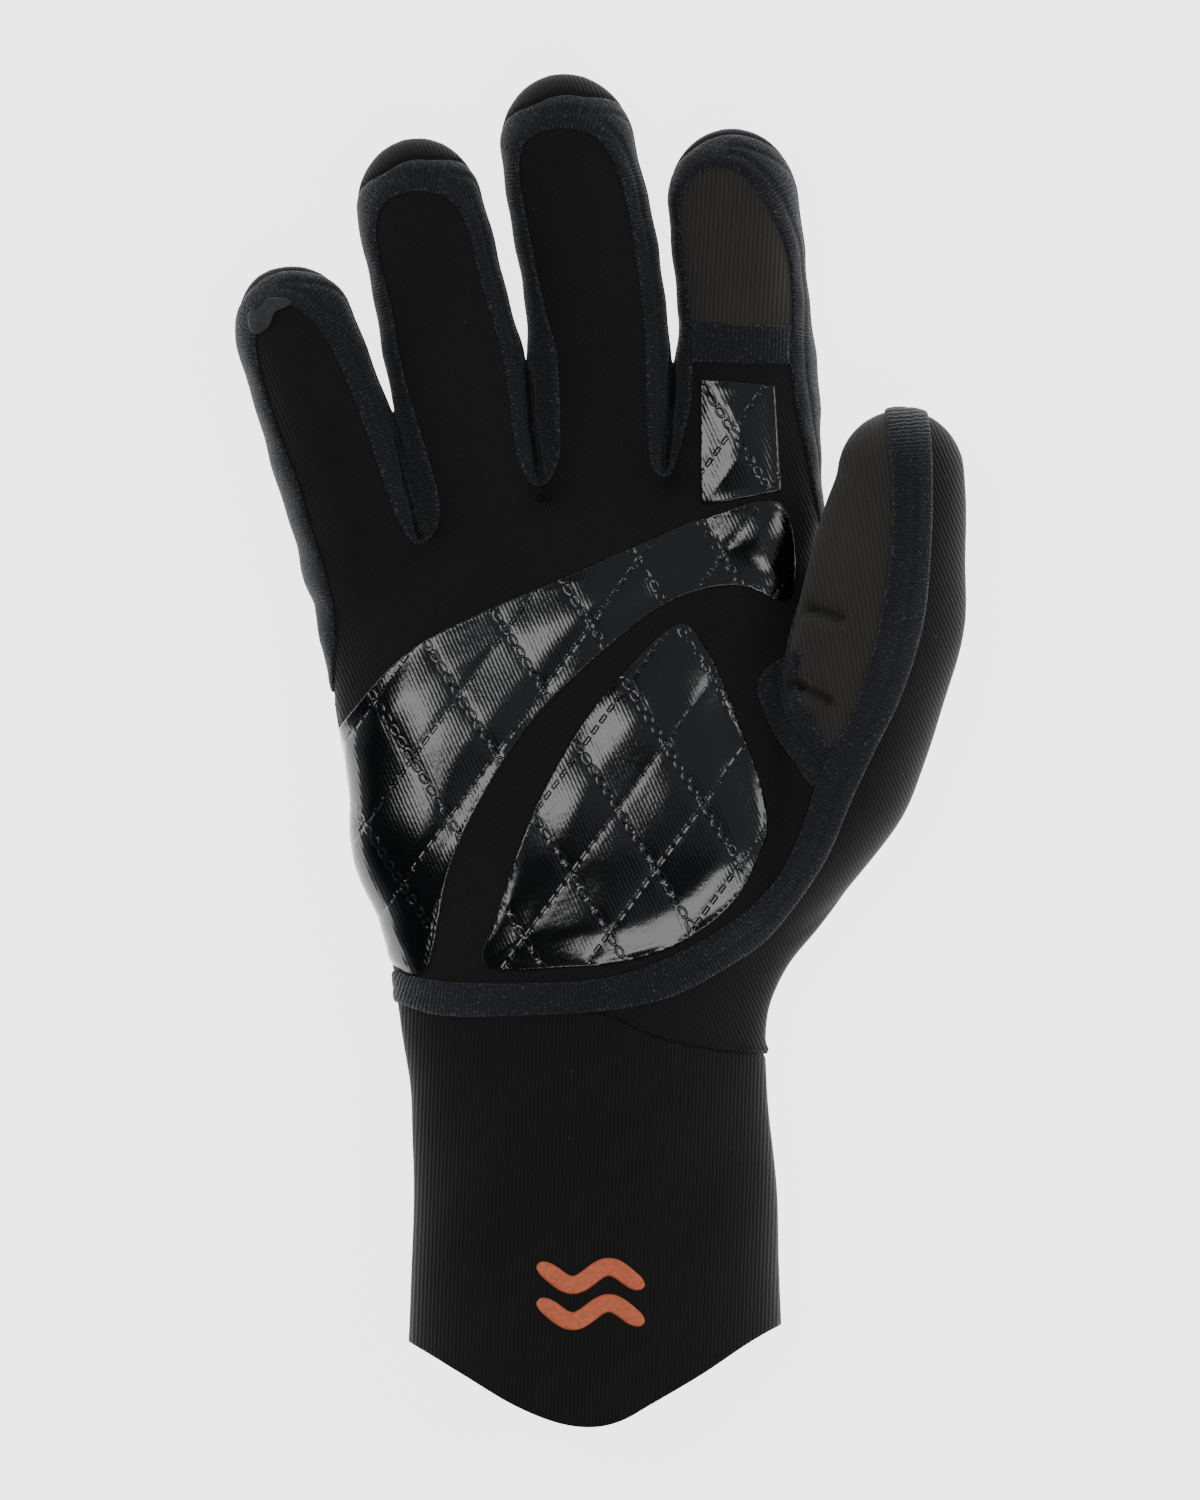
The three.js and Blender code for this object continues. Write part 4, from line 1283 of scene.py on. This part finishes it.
def mixed(tree, amount, colour, code):
    """A colour that turns to a hex value by an amount."""
    return add(tree, "ShaderNodeMix", {"data_type": "RGBA", 7: linear(code)}, _0=amount, _6=colour).outputs[2]


def bumped(tree, height, strength, distance):
    """Bump on the tree's surface shader."""
    bump = add(tree, "ShaderNodeBump", {"Strength": strength, "Distance": distance}, Height=height)
    tree.links.new(bump.outputs["Normal"], tree.nodes["Principled BSDF"].inputs["Normal"])


def coloured(tree, colour):
    """Links a colour to the tree's surface shader."""
    tree.links.new(colour, tree.nodes["Principled BSDF"].inputs["Base Color"])


def with_painted_crease_shade(tree, colour, depth=0.8):
    """A colour darkened towards near black by the stored amount, a painted shade in the folds."""
    painted_crease_shade = add(tree, ATTRIBUTE, {"attribute_name": "painted_crease_shade"}).outputs["Fac"]
    return mixed(tree, maths(tree, "MULTIPLY", {1: depth}, _0=painted_crease_shade), colour, "#020202")


def start_material(name, **surface):
    """An empty node material, its tree and the place of each point."""
    look = bpy.data.materials.new(name)
    look.use_nodes = True
    tree = look.node_tree
    for key, value in surface.items():
        tree.nodes["Principled BSDF"].inputs[key.replace("_", " ")].default_value = value
    return look, tree, add(tree, "ShaderNodeTexCoord").outputs["Object"]


# %% One knit for cloth and tape
def turned(tree, place, degrees):
    rotation = {"Rotation": (0, 0, math.radians(degrees))}
    return add(tree, "ShaderNodeMapping", rotation, Vector=place).outputs["Vector"]


def rib_wave(tree, way, scale, distortion, detail, detail_scale):
    """Bands across a direction, slightly uneven."""
    settings = {"Scale": scale, "Distortion": distortion, "Detail": detail, "Detail Scale": detail_scale}
    return add(tree, "ShaderNodeTexWave", settings, Vector=way).outputs["Fac"]


def noise(tree, place, scale, detail):
    return add(tree, NOISE, {"Scale": scale, "Detail": detail}, Vector=place).outputs["Fac"]


def knit(tree, place, ribs, grain, cloud, gain, low, high):
    """Height and colour of a ribbed knit. Grain and cloud are a scale, a detail and a weight."""
    def with_noise(below, scale, detail, weight):
        return maths(tree, "MULTIPLY_ADD", {1: weight}, _0=noise(tree, place, scale, detail), _2=below)

    height = with_noise(ribs, *grain)
    tone = with_noise(height, *cloud) if cloud else height
    return height, toned(tree, maths(tree, "MULTIPLY", {1: gain}, _0=tone), low, high)


# %% [markdown]
# ### Knitted face on neoprene
#
# The rubber foam is laminated with a fine nylon knit, dyed black. The knit has faint ribs 0.85 mm apart,
# which lean on the hand and run straight down the cuff, and it holds a few specks of lint.

# %% Black neoprene
LINT_SIZE = 0.026


def neoprene_face(name, turn):
    look, tree, place = start_material(
        name, Roughness=0.88, Sheen_Weight=0.06, Sheen_Roughness=0.4, Specular_IOR_Level=0.25)
    ribs = rib_wave(tree, turned(tree, place, turn), bands(0.85), 0.9, 1.0, 1.2)
    height, colour = knit(
        tree, place, ribs, (1500.0, 2.0, 0.55), (32.0, 3.0, 1.6), 0.4, (0.25, "#090908"), (0.95, "#161614"))
    lint = add(tree, "ShaderNodeTexVoronoi", {"Scale": 130.0, "Randomness": 1.0}, Vector=place)
    rare = maths(tree, "LESS_THAN", {1: LINT_SIZE}, _0=lint.outputs["Distance"])
    coloured(tree, mixed(tree, rare, colour, "#3a3a38"))
    bumped(tree, height, 0.8, 0.00014)
    return look


# %% [markdown]
# ### Ribbed knit
#
# The thumb's inner side and the index fingertip are a soft knit in warm dark grey. Its ribs run along
# the finger, about 0.4 mm apart, and are drawn at 1.0 mm.

# %% Ribbed knit
def ribbed_knit(name, turn):
    look, tree, place = start_material(
        name, Roughness=0.9, Sheen_Weight=0.12, Sheen_Roughness=0.5, Specular_IOR_Level=0.3)
    ribs = rib_wave(tree, turned(tree, place, turn), bands(1.0), 0.8, 1.0, 1.5)
    height, colour = knit(
        tree, place, ribs, (1800.0, 2.0, 0.8), (45.0, 2.0, 1.0), 0.45, (0.2, "#1f1d1a"), (0.9, "#35312c"))
    # The knit's colour is darkened towards near black in the deep thumb folds, a painted shade.
    coloured(tree, with_painted_crease_shade(tree, colour))
    bumped(tree, height, 0.7, 0.00016)
    return look


# %% [markdown]
# ### Seam tape
#
# The tape is a dense knit of navy yarn with pale fibres. Along its edges the pale specks are painted
# denser, as glints where the turned edge catches the light. Its ribs cross the ribbon, 0.55 mm apart on
# the real one and drawn at 0.8 mm. They follow the tape's own map, so they turn with it.

# %% Navy seam tape
def seam_tape():
    look, tree, place = start_material(
        "tape_navy_knit", Roughness=0.8, Sheen_Weight=0.1, Sheen_Roughness=0.4, Specular_IOR_Level=0.35)
    ribbon = add(tree, "ShaderNodeUVMap", {"uv_map": "along_across"}).outputs["UV"]
    ribs = rib_wave(tree, ribbon, bands(0.8, unit=1), 3.0, 2.0, 2.5)
    height, colour = knit(
        tree, place, ribs, (2200.0, 2.0, 1.5), None, 0.48, (0.3, "#090a0d"), (0.85, "#181a20"))
    # Pale specks are the knit's own fibres. Near the edges they are painted denser as glints.
    edge = add(tree, ATTRIBUTE, {"attribute_name": "edge_mm"}).outputs["Fac"]
    edge_glint_spread = {"From Min": 0.1, "From Max": 1.1, "To Min": 0.56, "To Max": 0.66}
    glint_speck_threshold = add(tree, MAP_RANGE, edge_glint_spread, Value=edge).outputs["Result"]
    pale_fibres_and_glints = maths(tree, "SUBTRACT", {}, _0=noise(tree, place, 1900.0, 1.0), _1=glint_speck_threshold)
    fade = {"From Min": 0.0, "From Max": 0.05, "To Min": 0.0, "To Max": 0.55}
    amount = add(tree, MAP_RANGE, fade, Value=pale_fibres_and_glints).outputs["Result"]
    # The pale specks are mixed in, then the colour is darkened to near black where two fingers meet, a painted
    # shade.
    coloured(tree, with_painted_crease_shade(tree, mixed(tree, amount, colour, "#54565e")))
    bumped(tree, height, 0.9, 0.00032)
    return look


# %% [markdown]
# ### Grip film
#
# A black rubber film, pressed on hot over the knit. It is glossy like patent leather. The knit's ribs show
# through faintly. One set of quilting lines is a chain of small raised rings, the other a row of pressed
# dashes.

# %% Glossy grip film
RING_REPEAT, RING_LENGTH, RING_WIDTH = 3.1, 2.4, 1.5
DASH_REPEAT = 3.0
FILM_RELIEF = 0.1 * MM


def grip_film():
    look, tree, place = start_material(
        "rubber_film_black_gloss", Base_Color=linear("#060707"), Roughness=0.15, IOR=1.5,
        Specular_IOR_Level=0.62)

    def lattice(pitch, turn):
        """Distance from the nearest line, and length along it, in millimetres."""
        settings = {"Rotation": (0, 0, -turn), "Scale": (1 / MM, 1 / MM, 1 / MM)}
        way = add(tree, "ShaderNodeMapping", settings, Vector=place).outputs["Vector"]
        apart = add(tree, "ShaderNodeSeparateXYZ", None, Vector=way)
        moved = maths(tree, "ADD", {1: QUILT_SHIFT}, _0=apart.outputs["X"])
        return maths(tree, "PINGPONG", {1: pitch / 2}, _0=moved), apart.outputs["Y"]

    # A chain of rings.
    across, along = lattice(QUILT_PITCH[0], QUILT_TURN[0])
    ahead = maths(tree, "PINGPONG", {1: RING_REPEAT / 2}, _0=along)
    across_share = maths(tree, "DIVIDE", {1: RING_WIDTH / 2}, _0=across)
    along_share = maths(tree, "DIVIDE", {1: RING_LENGTH / 2}, _0=ahead)
    ring = add(tree, "ShaderNodeCombineXYZ", None, X=across_share, Y=along_share).outputs["Vector"]
    radius = add(tree, "ShaderNodeVectorMath", {"operation": "LENGTH"}, _0=ring).outputs["Value"]
    from_rim = maths(tree, "ABSOLUTE", {}, _0=maths(tree, "SUBTRACT", {1: 1.0}, _0=radius))
    rings = eased(tree, from_rim, 0.0, 0.42)

    # A row of dashes.
    across, along = lattice(QUILT_PITCH[1], QUILT_TURN[1])
    ahead = maths(tree, "PINGPONG", {1: DASH_REPEAT / 2}, _0=along)
    dashes = maths(tree, "MULTIPLY", {}, _0=eased(tree, across, 0.1, 0.6), _1=eased(tree, ahead, 0.8, 1.15))

    # A beaded rim round each field.
    edge = add(tree, ATTRIBUTE, {"attribute_name": "edge_mm"}).outputs["Fac"]
    beads = maths(tree, "MULTIPLY", {}, _0=noise(tree, place, 900.0, 1.0), _1=eased(tree, edge, 0.1, 0.9))

    ribs = rib_wave(tree, turned(tree, place, -24), bands(0.85), 0.9, 1.0, 1.2)
    height = maths(tree, "MULTIPLY_ADD", {1: 0.13, 2: 0.0}, _0=ribs)
    grain = noise(tree, place, 800.0, 3.0)
    for source, weight in ((grain, 0.34), (rings, 0.6), (dashes, -0.9), (beads, 1.0)):
        height = maths(tree, "MULTIPLY_ADD", {1: weight}, _0=source, _2=height)
    bumped(tree, height, 1.0, FILM_RELIEF)
    return look


# %% [markdown]
# ### Orange print, cut foam and clear film
#
# The wavy bars are a slightly glossy plastisol print. The hem is a raw cut, which shows the foam's warm
# brown core between its two faces. The film scrap on the little finger is thin and greyish.

# %% Small finishes
def mottled(name, low, high, scale, roughness, strength):
    """A finish with a soft mottle in colour and height."""
    look, tree, place = start_material(name, Roughness=roughness)
    mottle = noise(tree, place, scale, 3.0)
    coloured(tree, toned(tree, mottle, (0.3, low), (0.7, high)))
    bumped(tree, mottle, strength, 0.0001)
    return look


neoprene = neoprene_face("neoprene_black_leaning_rib", -24)
cuff_neoprene = neoprene_face("neoprene_black_straight_rib", 2)
thumb_knit = ribbed_knit("knit_ribbed_thumb", -9)
index_knit = ribbed_knit("knit_ribbed_index", 3)
tape_look = seam_tape()
film_look = grip_film()
orange = mottled("print_orange_plastisol", "#b9522f", "#d4693f", 900.0, 0.45, 0.5)
foam = mottled("foam_cut_edge_brown", "#2b211a", "#4a382b", 1400.0, 0.95, 0.8)
scrap = mottled("film_clear_grey", "#0f1011", "#202224", 700.0, 0.6, 1.0)

# %% Dress the pieces
DRESS = [
    (cuff_neoprene, "black_neoprene", ["cuff"]),
    (neoprene, "black_neoprene", ["back_panel", "palm_panel"]),
    (index_knit, "ribbed_knit", ["index_tip_panel"]),
    (thumb_knit, "ribbed_knit", ["thumb_panel"]),
    (tape_look, "seam_tape", [
        "finger_seam_tape", "index_cross_tape", "thumb_wrist_tape", "thumb_crotch_tape", "palm_side_tape"]),
    (film_look, "grip_print", ["grip_print_upper", "grip_print_lower", "grip_print_index"]),
    (orange, "orange_print", ["cuff_emblem_bar_upper", "cuff_emblem_bar_lower"]),
    (scrap, None, ["fingertip_film"]),
]
for look, slot, dressed in DRESS:
    for name in dressed:
        piece = pieces[name]
        piece.name = name + "_look"
        piece.data.materials.append(look)
        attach(piece, "root")
        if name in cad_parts:
            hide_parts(name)
pieces["cuff"].data.materials.append(foam)
pieces["cuff"].data.polygons.foreach_set("material_index", on_cut_hem.astype(np.int32))
drop_piece(form)
print("materials:", ", ".join([look.name for look, _, _ in DRESS] + [foam.name]))
print("triangles:", sum(
    len(face.vertices) - 2 for piece in pieces.values() for face in piece.data.polygons))

# %% [markdown]
# ## Table, light and camera
#
# The glove lies on a plain white table. Three soft boxes light it from different sides, so its shadow stays
# faint, and their reflections make the bright patches on the film. The sky is bright near the horizon and
# dark on one side above, as a studio is with a black flag, so the film shows black and grey zones. The
# camera looks straight down through a long lens, since the reference picture shows almost no perspective.

# %% White table
bpy.ops.object.select_all(action="DESELECT")
bpy.ops.mesh.primitive_plane_add(size=8, location=(0, 0, 0))
table_top = bpy.context.active_object
table_top.name = "table"
white, _, _ = start_material(
    "paper_white", Base_Color=linear("#fbfbfb"), Roughness=0.9, Specular_IOR_Level=0.1,
    Emission_Color=linear("#ffffff"), Emission_Strength=3.0)
table_top.data.materials.append(white)

# %% Soft boxes
# Columns: name, place, width and height, radiance. Each box faces the glove.
SOFT_BOXES = [
    ("soft_box_left", (-0.72, 0.4, 1.6), (0.5, 1.0), 5.5),
    ("soft_box_near", (0.25, -0.8, 1.6), (0.9, 0.5), 5.0),
    ("soft_box_right", (1.3, 0.3, 1.3), (0.6, 0.9), 4.0),
]
for name, place, size, radiance in SOFT_BOXES:
    lamp = bpy.data.lights.new(name, "AREA")
    lamp.shape = "RECTANGLE"
    lamp.size, lamp.size_y = size
    lamp.energy = radiance * math.pi * size[0] * size[1]
    holder = bpy.data.objects.new(name, lamp)
    holder.location = place
    holder.rotation_euler = (-Vector(place)).to_track_quat("-Z", "Y").to_euler()
    bpy.context.scene.collection.objects.link(holder)

# %% Sky
BRIGHT_SIDE = (0.9, 0.43, 0)
sky = bpy.data.worlds.new("studio")
sky.use_nodes = True
wall = sky.node_tree
aim = add(wall, "ShaderNodeTexCoord").outputs["Generated"]
tilted = add(wall, "ShaderNodeVectorMath", {"operation": "DOT_PRODUCT", 1: BRIGHT_SIDE}, _0=aim)
level = add(wall, "ShaderNodeSeparateXYZ", None, Vector=aim).outputs["Z"]
shade = eased(wall, tilted.outputs["Value"], -0.12, 0.1, 0.05, 0.4)
horizon = eased(wall, level, 0.0, 0.6, 0.5, 0.0)
backdrop = wall.nodes["Background"]
wall.links.new(maths(wall, "ADD", {}, _0=shade, _1=horizon), backdrop.inputs["Strength"])
backdrop.inputs["Color"].default_value = linear("#eef4ff")
bpy.context.scene.world = sky

# %% Camera
CAMERA_HEIGHT = 3.0
SHARP_LEVEL = 0.012
SENSOR = 36
PICTURE_HEIGHT = 1500 / PIXELS_PER_MM * MM
lens_data = bpy.data.cameras.new("camera")
lens_data.lens = SENSOR * (CAMERA_HEIGHT - SHARP_LEVEL) / PICTURE_HEIGHT
camera = bpy.data.objects.new("camera", lens_data)
camera.location = (0, 0, CAMERA_HEIGHT)
bpy.context.scene.collection.objects.link(camera)
bpy.context.scene.camera = camera
print("lens, mm:", round(lens_data.lens, 1))
